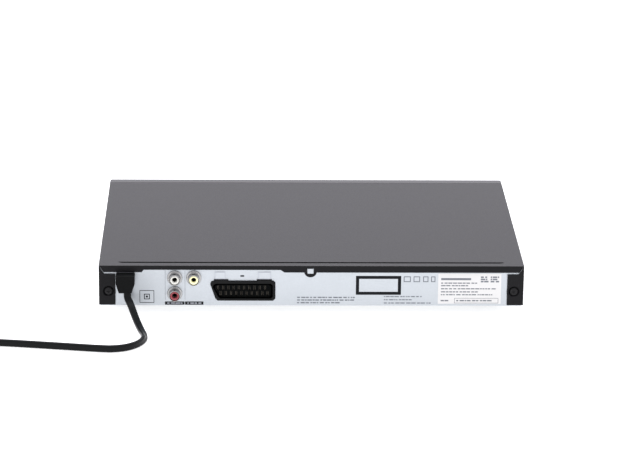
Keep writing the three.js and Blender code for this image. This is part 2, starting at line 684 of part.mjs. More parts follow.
// Boards on the pan with their main components
function makeBoards() {
  const z0 = panTop + board.lift;
  const rear = panelIn - gap;
  const main = block(mainLow, mainHigh, rear - mainBoard.length, rear - gap - pan.sheet, z0, boardTop);
  place(player, 'main_board', main, boardGreen);
  const chipHalf = chip.side / 2;
  const chipBody = block(-chipHalf, chipHalf, -chipHalf, chipHalf, 0, chip.height);
  const chipX = (mainLow + mainHigh) / 2 - chip.offset;
  place(player, 'decoder_chip', chipBody, darkPlastic, chipX, rear - chip.rearInset, boardTop + gap);
  const supplyRear = panelIn - powerBoard.rearInset;
  const supply = block(
    supplyLow, supplyHigh, supplyRear - powerBoard.length, supplyRear, z0, boardTop,
  );
  place(player, 'power_board', supply, boardTan);
  const tw = transformer.width / 2;
  const tl = transformer.length / 2;
  const b = transformer.bobbin;
  const core = join(
    block(-tw, tw, -tl + b, tl - b, 0, transformer.height),
    block(-tw + b, tw - b, -tl, tl, b / 2, transformer.height - b / 2),
  );
  place(
    player, 'transformer', core, ferrite, (supplyLow + supplyHigh) / 2,
    supplyRear - transformer.rearInset, boardTop + gap,
  );
  const can = turned('z', [
    [0, 0], [capacitor.radius, 0], [capacitor.radius, capacitor.height], [0, capacitor.height],
  ], 0, 0, roundSides);
  place(
    player, 'mains_capacitor', can, darkPlastic, supplyLow + capacitor.inset,
    supplyRear - capacitor.rearInset, boardTop + gap,
  );
}

// Round sockets: a moulded block behind the panel, and for each socket a metal barrel and an insert
function makeJacks() {
  const rear = panelIn - gap;
  const xs = jackPlaces.map((one) => one.x);
  const zs = jackPlaces.map((one) => one.z);
  const bores = jackPlaces.map(({ x, z }) => cylinder(
    'y', jackBlock.bore, rear - jackBlock.length / 2 - jack.inside / 2, rear + overrun, x, z,
  ));
  const body = cut(
    block(
      Math.min(...xs) - jackBlock.side, Math.max(...xs) + jackBlock.side, rear - jackBlock.length, rear,
      boardTop + gap, Math.max(...zs) + jackBlock.top,
    ),
    ...bores,
  );
  place(player, 'jack_block', body, blackPlastic);
  const inner = jack.barrel - jack.wall;
  const out = jack.proud;
  const back = -panel.sheet - jack.inside;
  const flangeOut = gap + jack.flangeThick;
  const barrel = cut(
    turned('y', [
      [0, back], [jack.barrel, back], [jack.barrel, gap], [jack.flange, gap], [jack.flange, flangeOut],
      [jack.barrel, flangeOut], [jack.barrel, out], [0, out],
    ]),
    cylinder('y', inner, back - overrun, out + overrun),
  );
  const face = out - jack.recess;
  const insert = cut(
    cylinder('y', jack.insert, face - jack.insertLength, face),
    cylinder('y', jack.bore, face - jack.insertLength - overrun, face + overrun, 0, 0, smallSides),
  );
  const colours = { white: whitePlastic, yellow: yellowPlastic, red: redPlastic };
  for (const { name, x, z } of jackPlaces) {
    place(player, `jack_barrel_${name}`, barrel, steel, x, panelOut, z);
    place(player, `jack_insert_${name}`, insert, colours[name], x, panelOut, z);
  }
}

// Long 21-way socket: a rim, a groove round the contact block, and two rows of contact slots
function makeScart() {
  const front = panelOut + scart.proud;
  const back = panelIn - scart.inside;
  const outer = prism('y', scartOutline(0), back, front);
  const bumps = scartBumps.map((bump) => block(
    bump.x - bump.width / 2, bump.x + bump.width / 2, panelIn - scart.rim, front,
    boardTop + scart.height / 2, boardTop + gap + scart.height + scart.bump,
  ));
  const groove = prism('y', scartOutline(scart.rim), front - scart.grooveDepth, front + overrun);
  const coreBack = front - scart.grooveDepth - overrun;
  const core = prism('y', scartOutline(scart.rim + scart.groove), coreBack, front - scart.blockSet);
  const middleZ = boardTop + gap + scart.height / 2;
  const contacts = [];
  for (const row of [-1, 1]) {
    for (let i = 0; i < scart.slotsPerRow; i += 1) {
      const shift = (i - (scart.slotsPerRow - 1) / 2) * scart.slotPitch;
      const x = scartX - scart.slant / 4 + shift + row * scart.slotPitch / 4 + scart.slotPitch / 4;
      const z = middleZ + row * scart.rowPitch / 2;
      contacts.push(block(
        x - scart.slotWidth / 2, x + scart.slotWidth / 2, front - scart.blockSet - scart.slotDepth,
        front + overrun, z - scart.slotHeight / 2, z + scart.slotHeight / 2,
      ));
    }
  }
  const body = cut(join(cut(join(outer, ...bumps), groove), core), ...contacts);
  place(player, 'scart_socket', body, darkPlastic);
}

// Cord bush: a tapering boot outside the panel, a neck through it and a head inside
function makeBush() {
  const w = bush.width / 2;
  const o = bush.outlet / 2;
  const bottom = bushTop - bush.height;
  const boot = prism('y', [
    [bushX - w, bushTop], [bushX - w, bushTop - bush.straight],
    [bushX + bush.outletShift - o, bottom], [bushX + bush.outletShift + o, bottom],
    [bushX + w, bushTop - bush.straight], [bushX + w, bushTop],
  ], panelOut + gap, panelOut + bush.proud);
  const neckTop = bushTop - bush.neckTop;
  const neck = block(
    bushX - bush.neckWidth / 2, bushX + bush.neckWidth / 2, panelIn - gap - bush.headThick / 2,
    panelOut + bush.proud / 2, neckTop - bush.neckHeight, neckTop,
  );
  const headMiddle = neckTop - bush.neckHeight / 2;
  const head = block(
    bushX - bush.headWidth / 2, bushX + bush.headWidth / 2, panelIn - gap - bush.headThick, panelIn - gap,
    headMiddle - bush.headHeight / 2, headMiddle + bush.headHeight / 2,
  );
  place(player, 'cord_bush', join(boot, neck, head), blackPlastic);
}

// Loader frame: floor with a window, walls with ledges, beam, pivot posts, gear posts and cam ribs
function makeLoaderFrame() {
  const h = loader.half;
  const w = loader.wall;
  const z0 = loaderBase;
  const floorTop = loaderFloor;
  const pieces = [
    cut(
      block(-h, h, loaderFront, loaderRear, z0, floorTop),
      block(
        -floorWindow.half, floorWindow.half, floorWindow.front, loaderRear - floorWindow.rearInset,
        z0 - overrun, floorTop + overrun,
      ),
    ),
    block(-h, -h + w, loaderFront, loaderRear, z0, loader.top),
    block(h - w, h, loaderFront, loaderRear, z0, loader.top),
    block(-h, h, loaderRear - w, loaderRear, z0, loader.top),
    block(-h, h, loaderFront, loaderFront + w, z0, z0 + loader.beam),
  ];
  const lowTop = tray.bottom - ledge.clear;
  const highBottom = trayRim + ledge.clear;
  for (const side of [-1, 1]) {
    const wallIn = side * (h - w / 2);
    const edge = side * (h - w - ledge.width);
    const a = Math.min(wallIn, edge);
    const b = Math.max(wallIn, edge);
    pieces.push(block(a, b, loaderFront, loaderRear - w / 2, lowTop - ledge.thick, lowTop));
    pieces.push(block(a, b, loaderFront, loaderRear - w / 2, highBottom, highBottom + ledge.thick));
    const postIn = side * pivotPost.inner;
    const postOut = side * (pivotPost.inner + pivotPost.thick);
    pieces.push(cut(
      block(
        Math.min(postIn, postOut), Math.max(postIn, postOut), pivotY - pivotPost.half,
        pivotY + pivotPost.half, z0, pivotZ + pivotPost.rise,
      ),
      cylinder(
        'x', traverse.trunnion + pivotPost.clear, -h, h, pivotY, pivotZ, smallSides,
      ),
    ));
  }
  const gearTop = trayGear.bottom + trayGear.thick;
  const seatTop = trayGear.bottom - running;
  for (const x of [trayGearX(), pulleyGearX()]) {
    pieces.push(cylinder('z', trayGear.post, z0, gearTop, x, trayGear.y, smallSides));
    pieces.push(cylinder('z', trayGear.post * 2, z0, seatTop, x, trayGear.y, smallSides));
  }
  const camLeft = cam.pinX - cam.travel - cam.end;
  const camRight = cam.pinX + cam.end + cam.travel;
  const camFront = cam.y - cam.thick;
  pieces.push(block(
    camLeft, camRight, cam.y + cam.ribClear, cam.y + cam.ribClear + cam.ribThick,
    z0, floorTop + cam.ribHeight,
  ));
  pieces.push(block(
    camLeft, camRight, camFront - cam.ribClear - cam.ribThick, camFront - cam.ribClear,
    z0, floorTop + cam.ribHeight,
  ));
  place(loaderGroup, 'loader_frame', join(...pieces), darkPlastic);
}

function trayGearX() {
  return rack.x - gap - trayGear.radius;
}

function pulleyGearX() {
  return trayGearX() - trayGear.radius - gap - pulleyGear.radius;
}

// Tray with its disc recesses, its slot for the turntable and its rack, and the door on its front
function makeTray() {
  const y0 = gap - tray.discSetback;
  const plate = block(-tray.half, tray.half, y0, trayRear, tray.bottom, trayRim);
  const recess = cylinder('z', tray.recess, trayFloor, trayRim + overrun, 0, 0, fineSides);
  const small = cylinder(
    'z', tray.small, trayFloor - tray.smallDepth, trayRim + overrun, 0, 0, fineSides,
  );
  const slotEnd = arc(0, 0, tray.slot, Math.PI, 2 * Math.PI, 12);
  const slot = prism('z', [
    ...slotEnd, [tray.slot, trayRear + overrun], [-tray.slot, trayRear + overrun],
  ], tray.bottom - overrun, trayRim + overrun);
  const pitch = Math.PI * rack.module;
  const toothCount = Math.floor((rack.front + rackRear) / pitch);
  const root = rack.x + rack.toothDepth;
  const back = root + rack.body;
  const outline = [[back, -rack.front], [back, rackRear], [root, rackRear]];
  const toothShares = [[0.1, 0], [0.3, 1], [0.7, 1], [0.9, 0]];
  for (let i = 0; i < toothCount; i += 1) {
    for (const [along, out] of toothShares) {
      outline.push([root - out * rack.toothDepth, rackRear - (i + along) * pitch]);
    }
  }
  outline.push([root, -rack.front]);
  const strip = prism('z', outline, rack.bottom, tray.bottom + tray.plate / 2);
  place(loaderGroup, 'disc_tray', join(cut(plate, recess, small, slot), strip), darkPlastic);
  const face = block(-door.half, door.half, 0, fascia.wall, 0, door.height);
  place(loaderGroup, 'tray_front', face, greyPlastic, 0, -fascia.wall - tray.discSetback, door.bottom);
}

// Tray drive: motor, two pulleys, belt and gears
function makeTrayDrive() {
  const g = trayGear;
  const bore = cylinder('z', g.bore, -overrun, g.thick + overrun, 0, 0, smallSides);
  const gear = cut(prism('z', gearOutline(g.teeth, g.radius, g.tooth), 0, g.thick), bore);
  place(loaderGroup, 'tray_gear', gear, whitePlastic, trayGearX(), g.y, g.bottom);
  const p = pulleyGear;
  const pulleyLow = g.thick + running;
  const smallGear = prism('z', gearOutline(p.teeth, p.radius, g.tooth / 2), 0, g.thick + running * 2);
  const wheel = cylinder('z', p.pulley, pulleyLow, pulleyLow + p.pulleyThick);
  const hubBore = cylinder('z', g.bore, -overrun, g.thick + running / 2, 0, 0, smallSides);
  place(
    loaderGroup, 'pulley_gear', cut(join(smallGear, wheel), hubBore), whitePlastic,
    pulleyGearX(), g.y, g.bottom,
  );
  const m = motor;
  const can = cylinder('z', m.radius, loaderFloor + gap, loaderFloor + gap + m.height);
  place(loaderGroup, 'loading_motor', can, steel, m.x, m.y);
  const wheelLow = g.bottom + pulleyLow;
  const canTop = loaderFloor + gap + m.height;
  const small = join(
    cylinder('z', m.pulley, wheelLow, wheelLow + p.pulleyThick),
    cylinder('z', m.shaft, canTop + gap, wheelLow + p.pulleyThick / 2, 0, 0, smallSides),
  );
  place(loaderGroup, 'motor_pulley', small, brass, m.x, m.y);
  const dx = pulleyGearX() - m.x;
  const dy = g.y - m.y;
  const span = Math.hypot(dx, dy);
  const heading = Math.atan2(dy, dx);
  function loop(extra) {
    const big = p.pulley + gap + extra;
    const little = m.pulley + gap + extra;
    const lean = Math.asin((big - little) / span);
    return [
      ...arc(m.x, m.y, little, heading + Math.PI / 2 + lean, heading + 1.5 * Math.PI - lean, 8),
      ...arc(m.x + dx, m.y + dy, big, heading - Math.PI / 2 - lean, heading + Math.PI / 2 + lean, 16),
    ];
  }
  const beltLow = wheelLow + (p.pulleyThick - belt.height) / 2;
  const band = prism('z', loop(belt.thick), beltLow, beltLow + belt.height, [loop(0)]);
  place(loaderGroup, 'loading_belt', band, rubber);
}

// Clamper bridge across the loader and the clamper that hangs in its hole
function makeClamper() {
  const h = loader.half;
  const b = bridge;
  const legs = [-1, 1].map((side) => {
    const outer = side * h;
    const inner = side * (h - loader.wall);
    return block(
      Math.min(outer, inner), Math.max(outer, inner), -b.half, b.half,
      loader.top + gap, b.bottom + b.sheet / 2,
    );
  });
  const plate = join(
    block(-h, h, -b.half, b.half, b.bottom, b.bottom + b.sheet), ...legs,
  );
  const hole = cylinder('z', b.hole, b.bottom - overrun, b.bottom + b.sheet + overrun);
  place(loaderGroup, 'clamper_bridge', cut(plate, hole), zinc);
  const capLow = b.bottom + b.sheet + clamp.lift - clamp.bottom;
  const body = turned('z', [
    [0, 0], [clamp.disc, 0], [clamp.disc, clamp.discThick], [clamp.neck, clamp.discThick],
    [clamp.neck, capLow], [clamp.cap, capLow], [clamp.cap, capLow + clamp.capThick],
    [0, capLow + clamp.capThick],
  ]);
  place(loaderGroup, 'clamper', body, blackPlastic, 0, 0, clamp.bottom);
}

// Traverse: the frame that swings on its rear trunnions, with spindle, rods, pickup and lead screw
function makeTraverse() {
  const t = traverse;
  const rimTop = plateTop + t.rim;
  const motorHole = spindle.radius + spindle.clear;
  const pieces = [
    block(-t.half, t.half, t.front, traverseRear, t.bottom, plateTop),
    block(-t.half, -t.half + t.rimThick, t.front, traverseRear, t.bottom, rimTop),
    block(t.half - t.rimThick, t.half, t.front, traverseRear, t.bottom, rimTop),
    block(-t.half, t.half, t.front, t.front + t.rimThick, t.bottom, rimTop),
    block(
      cam.pinX - cam.lug, cam.pinX + cam.lug, t.front, t.front + t.rimThick, t.bottom, cam.lugTop,
    ),
    cylinder(
      'y', cam.pinRadius, t.front - cam.pinOut, t.front + t.rimThick / 2, cam.pinX, cam.pinZ, smallSides,
    ),
    cylinder('x', t.trunnion, -t.half - t.trunnionOut, -t.half + t.rimThick, pivotY, pivotZ, smallSides),
    cylinder('x', t.trunnion, t.half - t.rimThick, t.half + t.trunnionOut, pivotY, pivotZ, smallSides),
  ];
  const holderTop = plateTop + holder.rise;
  const bores = [];
  for (const x of [-guide.x, guide.x]) {
    for (const y of [holder.front, holderRear]) {
      pieces.push(block(x - holder.half, x + holder.half, y, y + holder.thick, t.bottom, holderTop));
    }
    bores.push(cylinder(
      'y', guide.radius + guide.clear, holder.front - overrun, holderRear + holder.thick + overrun,
      x, guide.z, smallSides,
    ));
  }
  pieces.push(block(
    lead.x - holder.half, lead.x + holder.half, holderRear, holderRear + holder.thick,
    t.bottom, holderTop,
  ));
  bores.push(cylinder(
    'y', lead.radius + guide.clear, lead.front, leadRear + guide.clear, lead.x, guide.z, smallSides,
  ));
  const cuts = [
    block(
      -t.windowHalf, t.windowHalf, t.windowFront, loaderRear - t.windowInset,
      t.bottom - overrun, plateTop + overrun / 2,
    ),
    cylinder('z', motorHole, t.bottom - overrun, rimTop + overrun),
    block(
      lead.x - sled.radius - sled.clear, lead.x + sled.radius + sled.clear, sled.front - sled.clear,
      sled.rear + sled.clear, t.bottom - overrun, rimTop + overrun,
    ),
  ];
  place(loaderGroup, 'traverse_frame', cut(join(...pieces), ...cuts, ...bores), greyPlastic);
  const can = cylinder('z', spindle.radius, spindle.bottom, spindle.top);
  place(loaderGroup, 'spindle_motor', can, steel);
  const tableBody = turned('z', [
    [0, 0], [table.radius, 0], [table.radius, table.thick], [table.cone, table.thick],
    [table.tip, table.thick + table.coneHeight], [0, table.thick + table.coneHeight],
  ]);
  place(loaderGroup, 'turntable', tableBody, blackPlastic, 0, 0, spindle.top + running);
  const rod = cylinder('y', guide.radius, guide.front, loaderRear - guide.rearInset, 0, 0, smallSides);
  place(loaderGroup, 'guide_rod_left', rod, steel, -guide.x, 0, guide.z);
  place(loaderGroup, 'guide_rod_right', rod, steel, guide.x, 0, guide.z);
  const leadRod = cylinder('y', lead.radius, lead.front, leadRear, 0, 0, smallSides);
  place(loaderGroup, 'lead_screw', leadRod, brass, lead.x, 0, guide.z);
  const sledCan = cylinder('y', sled.radius, sled.front, sled.rear - gap, 0, 0, roundSides);
  place(loaderGroup, 'sled_motor', sledCan, steel, lead.x, 0, guide.z);
}

// Pickup carriage and its lens, at their innermost place
function makePickup() {
  const p = pickup;
  const channels = [-1, 1].map((side) => block(
    side * guide.x - p.slotHalf, side * guide.x + p.slotHalf, -p.noseOut - overrun, p.tail + overrun,
    p.bottom - overrun, guide.z + p.slotHalf,
  ));
  const body = join(
    cut(
      join(
        block(-p.nose, p.nose, -p.noseOut, p.tail, p.bottom, p.top),
        block(-p.half, p.half, -p.shoulder, p.tail, p.bottom, p.top),
      ),
      ...channels,
    ),
    block(-p.opticHalf, p.opticHalf, -p.opticFront, p.opticRear, p.opticBottom, p.bottom + overrun),
    block(
      p.half - overrun, p.half + p.nutReach, p.opticFront, p.opticFront + p.nutLength,
      guide.z - lead.radius, guide.z + lead.radius,
    ),
    block(-p.holderHalf, p.holderHalf, -p.holderFront, p.holderRear, p.top - overrun, p.holderTop),
  );
  const lensY = p.lensSetback;
  place(loaderGroup, 'pickup', body, steel, 0, lensY);
  const eye = turned('z', [
    [0, 0], [lens.radius, 0], [lens.radius, lens.thick], [lens.radius * lensShares.rim, lens.thick],
    [lens.radius * lensShares.shoulder, lens.thick + lens.crown * lensShares.rise],
    [0, lens.thick + lens.crown],
  ], 0, 0, smallSides);
  place(loaderGroup, 'objective_lens', eye, glass, 0, lensY, p.holderTop + lens.clear);
}

// Cam slider: an upright plate whose slanted slot holds the traverse's front pin
function makeCam() {
  const left = cam.pinX - cam.travel - cam.end;
  const right = cam.pinX + cam.end;
  const plate = block(left, right, cam.y - cam.thick, cam.y, cam.bottom, cam.top);
  const lean = Math.atan2(cam.drop, cam.travel);
  const slot = prism('y', [
    ...arc(cam.pinX, cam.pinZ, cam.slot, lean - Math.PI / 2, lean + Math.PI / 2, 6),
    ...arc(cam.pinX - cam.travel, cam.pinZ - cam.drop, cam.slot, lean + Math.PI / 2, lean + 1.5 * Math.PI, 6),
  ], cam.y - cam.thick - overrun, cam.y + overrun);
  place(loaderGroup, 'cam_slider', cut(plate, slot), whitePlastic);
}

// Ribbon cable from the main board to the loader's wall
function makeRibbon() {
  const x0 = mainLow + ribbon.overlap;
  const x1 = loaderEdge + gap;
  const y = panelIn - ribbon.rearInset;
  const z0 = boardTop + gap;
  const z1 = z0 + ribbon.rise;
  const r = ribbon.bendRadius;
  const t = ribbon.thick;
  const body = prism('y', [
    [x0, z0], [x0, z0 + t],
    ...arc(x1 + r, z0 + r, r - t, 1.5 * Math.PI, Math.PI, 5),
    [x1 + t, z1], [x1, z1],
    ...arc(x1 + r, z0 + r, r, Math.PI, 1.5 * Math.PI, 5),
  ], y - ribbon.width / 2, y + ribbon.width / 2);
  place(player, 'ribbon_cable', body, ribbonFilm);
}

// A stretch of the lead: the wide side turns from its first to its last direction on the way
class FlatLead extends THREE.CatmullRomCurve3 {
  constructor(route, firstWide, lastWide, fromShare, toShare) {
    super(route.map((point) => new THREE.Vector3(...point)), false, 'centripetal');
    this.firstWide = firstWide;
    this.lastWide = lastWide;
    this.fromShare = fromShare;
    this.toShare = toShare;
  }

  computeFrenetFrames(segments) {
    const tangents = [];
    const normals = [];
    const binormals = [];
    for (let i = 0; i <= segments; i += 1) {
      const along = i / segments;
      const tangent = this.getTangentAt(along);
      const blend = THREE.MathUtils.smoothstep(along, this.fromShare, this.toShare);
      const wide = this.firstWide.clone().lerp(this.lastWide, blend);
      wide.addScaledVector(tangent, -wide.dot(tangent)).normalize();
      tangents.push(tangent);
      normals.push(wide);
      binormals.push(new THREE.Vector3().crossVectors(tangent, wide));
    }
    return { tangents, normals, binormals };
  }
}

// The flat cord's section: shares of half its thin and half its wide size
const cordShares = [
  [1, 0.42], [0.5, 1], [-0.5, 1], [-1, 0.42], [-1, -0.42], [-0.5, -1], [0.5, -1], [1, -0.42],
];
const coilShares = [[1, 0.45], [0, 1], [-1, 0.45], [-1, -0.45], [0, -1], [1, -0.45]];
// The shares of each stretch between which its wide side turns, and of a turn in which the coil climbs
const turnShares = { downFrom: 0.17, downTo: 0.37, tailFrom: 0, tailTo: 1, climb: 0.25 };

function makeLeads() {
  const section = new THREE.Shape(cordShares.map(([across, along]) => new THREE.Vector2(
    along * cord.wide / 2, across * cord.thin / 2,
  )));
  const across = new THREE.Vector3(1, 0, 0);
  const upright = new THREE.Vector3(0, 0, 1);
  const { downFrom, downTo, tailFrom, tailTo } = turnShares;
  const stretches = [
    ['mains_cord', new FlatLead(cordRoute, across, upright, downFrom, downTo), cord.steps],
    ['cord_tail', new FlatLead(tailRoute, upright, across, tailFrom, tailTo), cord.tailSteps],
  ];
  for (const [name, extrudePath, steps] of stretches) {
    const bar = new THREE.ExtrudeGeometry(section, { steps, extrudePath, bevelEnabled: false });
    place(leadGroup, name, solid(bar), cordSkin);
  }
}

// Coil centre line: it spirals in along the floor, climbs a layer where it turns back, and spirals out
function coilPoint(turnsDone) {
  const inner = coil.outer - coil.pitch * coil.turns / 2;
  const u = turnsDone - coil.turns / 2;
  const climb = turnShares.climb;
  const bend = Math.abs(u) < climb ? 2 * u * u + climb / 2 : Math.abs(u);
  const radius = inner + coil.pitch * bend;
  const rise = THREE.MathUtils.smoothstep(u, -climb, climb);
  const angle = Math.PI / 2 - 2 * Math.PI * turnsDone;
  return new THREE.Vector3(
    coil.x + radius * Math.cos(angle), coil.y + radius * Math.sin(angle),
    coilLow + (coilHigh - coilLow) * rise,
  );
}

function coilLine() {
  const count = Math.round(coil.turns * coil.steps);
  const line = [];
  for (let i = 0; i <= count; i += 1) line.push(coilPoint(coil.turns * i / count));
  const first = new THREE.Vector3(-1, 0, 0);
  const last = new THREE.Vector3(0, -1, 0);
  line.unshift(line[0].clone().addScaledVector(first, cord.wide));
  line.push(line[line.length - 1].clone().addScaledVector(last, cord.wide));
  return line;
}

function makeCoil() {
  const line = coilLine();
  const upright = new THREE.Vector3(0, 0, 1);
  const positions = [];
  const rings = line.map((point, i) => {
    const before = line[Math.max(i - 1, 0)];
    const after = line[Math.min(i + 1, line.length - 1)];
    const tangent = after.clone().sub(before).normalize();
    const thin = new THREE.Vector3().crossVectors(tangent, upright).normalize();
    const wide = new THREE.Vector3().crossVectors(thin, tangent).normalize();
    const ring = coilShares.map(([across, along]) => point.clone()
      .addScaledVector(thin, across * cord.thin / 2)
      .addScaledVector(wide, along * cord.wide / 2));
    for (const corner of ring) positions.push(corner.x, corner.y, corner.z);
    return ring;
  });
  const sides = coilShares.length;
  const index = [];
  for (let i = 0; i + 1 < rings.length; i += 1) {
    for (let k = 0; k < sides; k += 1) {
      const a = i * sides + k;
      const b = i * sides + (k + 1) % sides;
      index.push(a, a + sides, b, b, a + sides, b + sides);
    }
  }
  const last = (rings.length - 1) * sides;
  for (let k = 1; k + 1 < sides; k += 1) {
    index.push(0, k, k + 1);
    index.push(last, last + k + 1, last + k);
  }
  const tube = new THREE.BufferGeometry();
  tube.setAttribute('position', new THREE.Float32BufferAttribute(positions, 3));
  tube.setIndex(index);
  tube.computeVertexNormals();
  place(leadGroup, 'cord_coil', tube, cordSkin);
  console.log(`least gap between the coil's turns ${leastGap(rings).toFixed(2)} mm`);
}

// The least distance between points on the surfaces of different turns
function leastGap(rings) {
  const probeShares = [0, 0.25, 0.5, 0.75];
  const dense = rings.map((ring) => ring.flatMap((corner, k) => {
    const next = ring[(k + 1) % ring.length];
    return probeShares.map((share) => corner.clone().lerp(next, share));
  }));
  let least = Infinity;
  for (let i = 0; i < dense.length; i += 1) {
    for (let j = i + coil.steps / 2; j < dense.length; j += 1) {
      for (const a of dense[i]) {
        for (const b of dense[j]) least = Math.min(least, a.distanceTo(b));
      }
    }
  }
  return least;
}

// Tie round the coil, and the two-pin plug beside it
function makeTieAndPlug() {
  const inner = coil.outer - coil.pitch * coil.turns / 2;
  const near = coil.y - inner + cord.thin / 2 + tie.clear;
  const far = coil.y - coil.outer - cord.thin / 2 - tie.clear;
  const low = tie.thick;
  const high = coilHigh + cord.wide / 2 + tie.clear;
  const t = tie.thick;
  const band = prism(
    'x',
    [[far - t, low - t], [near + t, low - t], [near + t, high + t], [far - t, high + t]],
    coil.x - tie.width / 2, coil.x + tie.width / 2,
    [[[far, low], [near, low], [near, high], [far, high]]],
  );
  place(leadGroup, 'cord_tie', band, darkPlastic);
  const neck = plug.neck / 2;
  const w = plug.width / 2;
  const c = plug.corner;
  const y1 = plug.neckLength;
  const y2 = y1 + plug.flare;
  const y3 = y2 + plug.shoulder;
  const y4 = y3 + plug.face;
  const shell = prism('z', [
    [-neck, 0], [-neck - c, -y1], [-w + c, -y3 + c], [-w, -y3], [-w, -y4], [w, -y4], [w, -y3],
    [w - c, -y3 + c], [neck + c, -y1], [neck, 0],
  ], 0, plug.thick);
  place(leadGroup, 'plug_body', shell, blackPlastic, plug.x, plug.y);
  const blade = turned('y', [
    [0, -y4 - gap - pin.length], [pin.radius - pin.tip, -y4 - gap - pin.length],
    [pin.radius, -y4 - gap - pin.length + pin.tip], [pin.radius, -y4 - gap], [0, -y4 - gap],
  ], 0, 0, smallSides);
  place(leadGroup, 'plug_pin_left', blade, steel, plug.x - pin.spacing / 2, plug.y, plug.thick / 2);
  place(leadGroup, 'plug_pin_right', blade, steel, plug.x + pin.spacing / 2, plug.y, plug.thick / 2);
}

makeCover();
makePan();
makeRearPanel();
makeFrontPanel();
makeButtons();
makeFrontBoard();
makeFeetAndScrews();
makeBoards();
makeJacks();
makeScart();
makeBush();
makeLoaderFrame();
makeTray();
makeTrayDrive();
makeClamper();
makeTraverse();
makePickup();
makeCam();
makeRibbon();
makeLeads();
makeCoil();
makeTieAndPlug();

export default player;
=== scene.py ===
import contextlib
import functools
import json
import math
import random

import bmesh
import bpy
from mathutils import Matrix, Vector


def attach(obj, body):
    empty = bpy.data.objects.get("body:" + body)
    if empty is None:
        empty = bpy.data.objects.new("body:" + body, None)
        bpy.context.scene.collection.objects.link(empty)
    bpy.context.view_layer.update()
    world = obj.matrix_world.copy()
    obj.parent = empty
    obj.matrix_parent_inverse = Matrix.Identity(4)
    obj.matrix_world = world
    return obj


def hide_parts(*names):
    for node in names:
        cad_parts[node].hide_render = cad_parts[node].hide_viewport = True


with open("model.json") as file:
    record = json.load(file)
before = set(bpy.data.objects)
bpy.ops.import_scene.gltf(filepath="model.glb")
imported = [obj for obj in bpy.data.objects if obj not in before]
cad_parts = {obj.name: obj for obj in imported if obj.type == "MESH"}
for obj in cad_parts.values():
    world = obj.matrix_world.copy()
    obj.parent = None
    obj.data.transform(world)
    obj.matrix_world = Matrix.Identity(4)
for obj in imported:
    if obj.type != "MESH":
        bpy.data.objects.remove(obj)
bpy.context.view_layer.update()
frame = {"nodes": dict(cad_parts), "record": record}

# A slim disc player seen from behind, with its flat mains lead. Lengths are written in millimetres
# and turned to metres by MM, in the player's own frame: +Z up, sockets to +Y, front to -Y.
MM = 0.001
nodes = frame["nodes"]
body_of = {node: body for body, members in frame["record"]["behaviour"]["bodies"].items()
           for node in members}


def spot(x, y, z):
    return Vector((x, y, z)) * MM


# ---- Camera: a long lens behind the player, a little above it ----
VIEW = {"yaw": -1.49, "pitch": 18.59, "roll": 0.602, "lens": 171.39,
        "place": (53.5, 2138.9, 748.6)}


def make_camera():
    yaw, pitch, roll = (math.radians(VIEW[k]) for k in ("yaw", "pitch", "roll"))
    ahead = Vector((math.sin(yaw) * math.cos(pitch), -math.cos(yaw) * math.cos(pitch),
                    -math.sin(pitch)))
    right = ahead.cross(Vector((0, 0, 1))).normalized()
    up = right.cross(ahead)
    across = math.cos(roll) * right + math.sin(roll) * up
    upward = -math.sin(roll) * right + math.cos(roll) * up
    data = bpy.data.cameras.new("camera")
    data.lens = VIEW["lens"]
    camera = bpy.data.objects.new("camera", data)
    bpy.context.scene.collection.objects.link(camera)
    turn = Matrix((across, upward, -ahead)).transposed().to_4x4()
    camera.matrix_world = Matrix.Translation(spot(*VIEW["place"])) @ turn
    bpy.context.scene.camera = camera


make_camera()

# ---- Small tools ----
SAME_POINT, SAME_NODE_POINT = 0.002 * MM, 0.001 * MM  # points closer than this are one
SHARP = 38  # degrees: edges that turn by more are broken
FLAT = 0.6  # degrees: faces that turn by less are one
CLOSE = 0.06  # millimetres: a corner is at a place when it is nearer than this


def linear(code):
    """An sRGB hex colour as linear red, green and blue, with full alpha."""
    parts = [int(code[i:i + 2], 16) / 255 for i in (0, 2, 4)]
    return (*(c / 12.92 if c <= 0.04045 else ((c + 0.055) / 1.055) ** 2.4 for c in parts), 1.0)


def add(tree, kind, inputs=None, **settings):
    """Adds a node with its settings, and links or sets its inputs. A list of three numbers or
    sockets goes in as one vector, and a tuple of sockets joins them all to one input."""
    made = tree.nodes.new(kind)
    for key, value in settings.items():
        setattr(made, key, value)
    for key, value in (inputs or {}).items():
        if isinstance(value, list):
            value = add(tree, "ShaderNodeCombineXYZ", dict(enumerate(value))).outputs["Vector"]
        sources = value if isinstance(value, tuple) else (value,)
        if isinstance(sources[0], bpy.types.NodeSocket):
            for source in sources:
                tree.links.new(source, made.inputs[key])
        else:
            made.inputs[key].default_value = value
    return made


def new_object(name, data, material=None):
    made = bpy.data.objects.new(name, data)
    bpy.context.scene.collection.objects.link(made)
    if material is not None:
        data.materials.clear()
        data.materials.append(material)
    return made


def mesh_from(name, points, faces=(), edges=()):
    """A mesh from points in millimetres."""
    mesh = bpy.data.meshes.new(name)
    mesh.from_pydata([tuple(c * MM for c in p) for p in points], edges, faces)
    mesh.validate()
    return mesh


@contextlib.contextmanager
def editing(mesh):
    """A mesh's working copy, written back at the end."""
    body = bmesh.new()
    body.from_mesh(mesh)
    yield body
    body.to_mesh(mesh)
    body.free()


def smooth(mesh, angle):
    """Smooth shading, with edges that turn by more than the angle left sharp."""
    mesh.polygons.foreach_set("use_smooth", [True] * len(mesh.polygons))
    mesh.set_sharp_from_angle(angle=math.radians(angle))


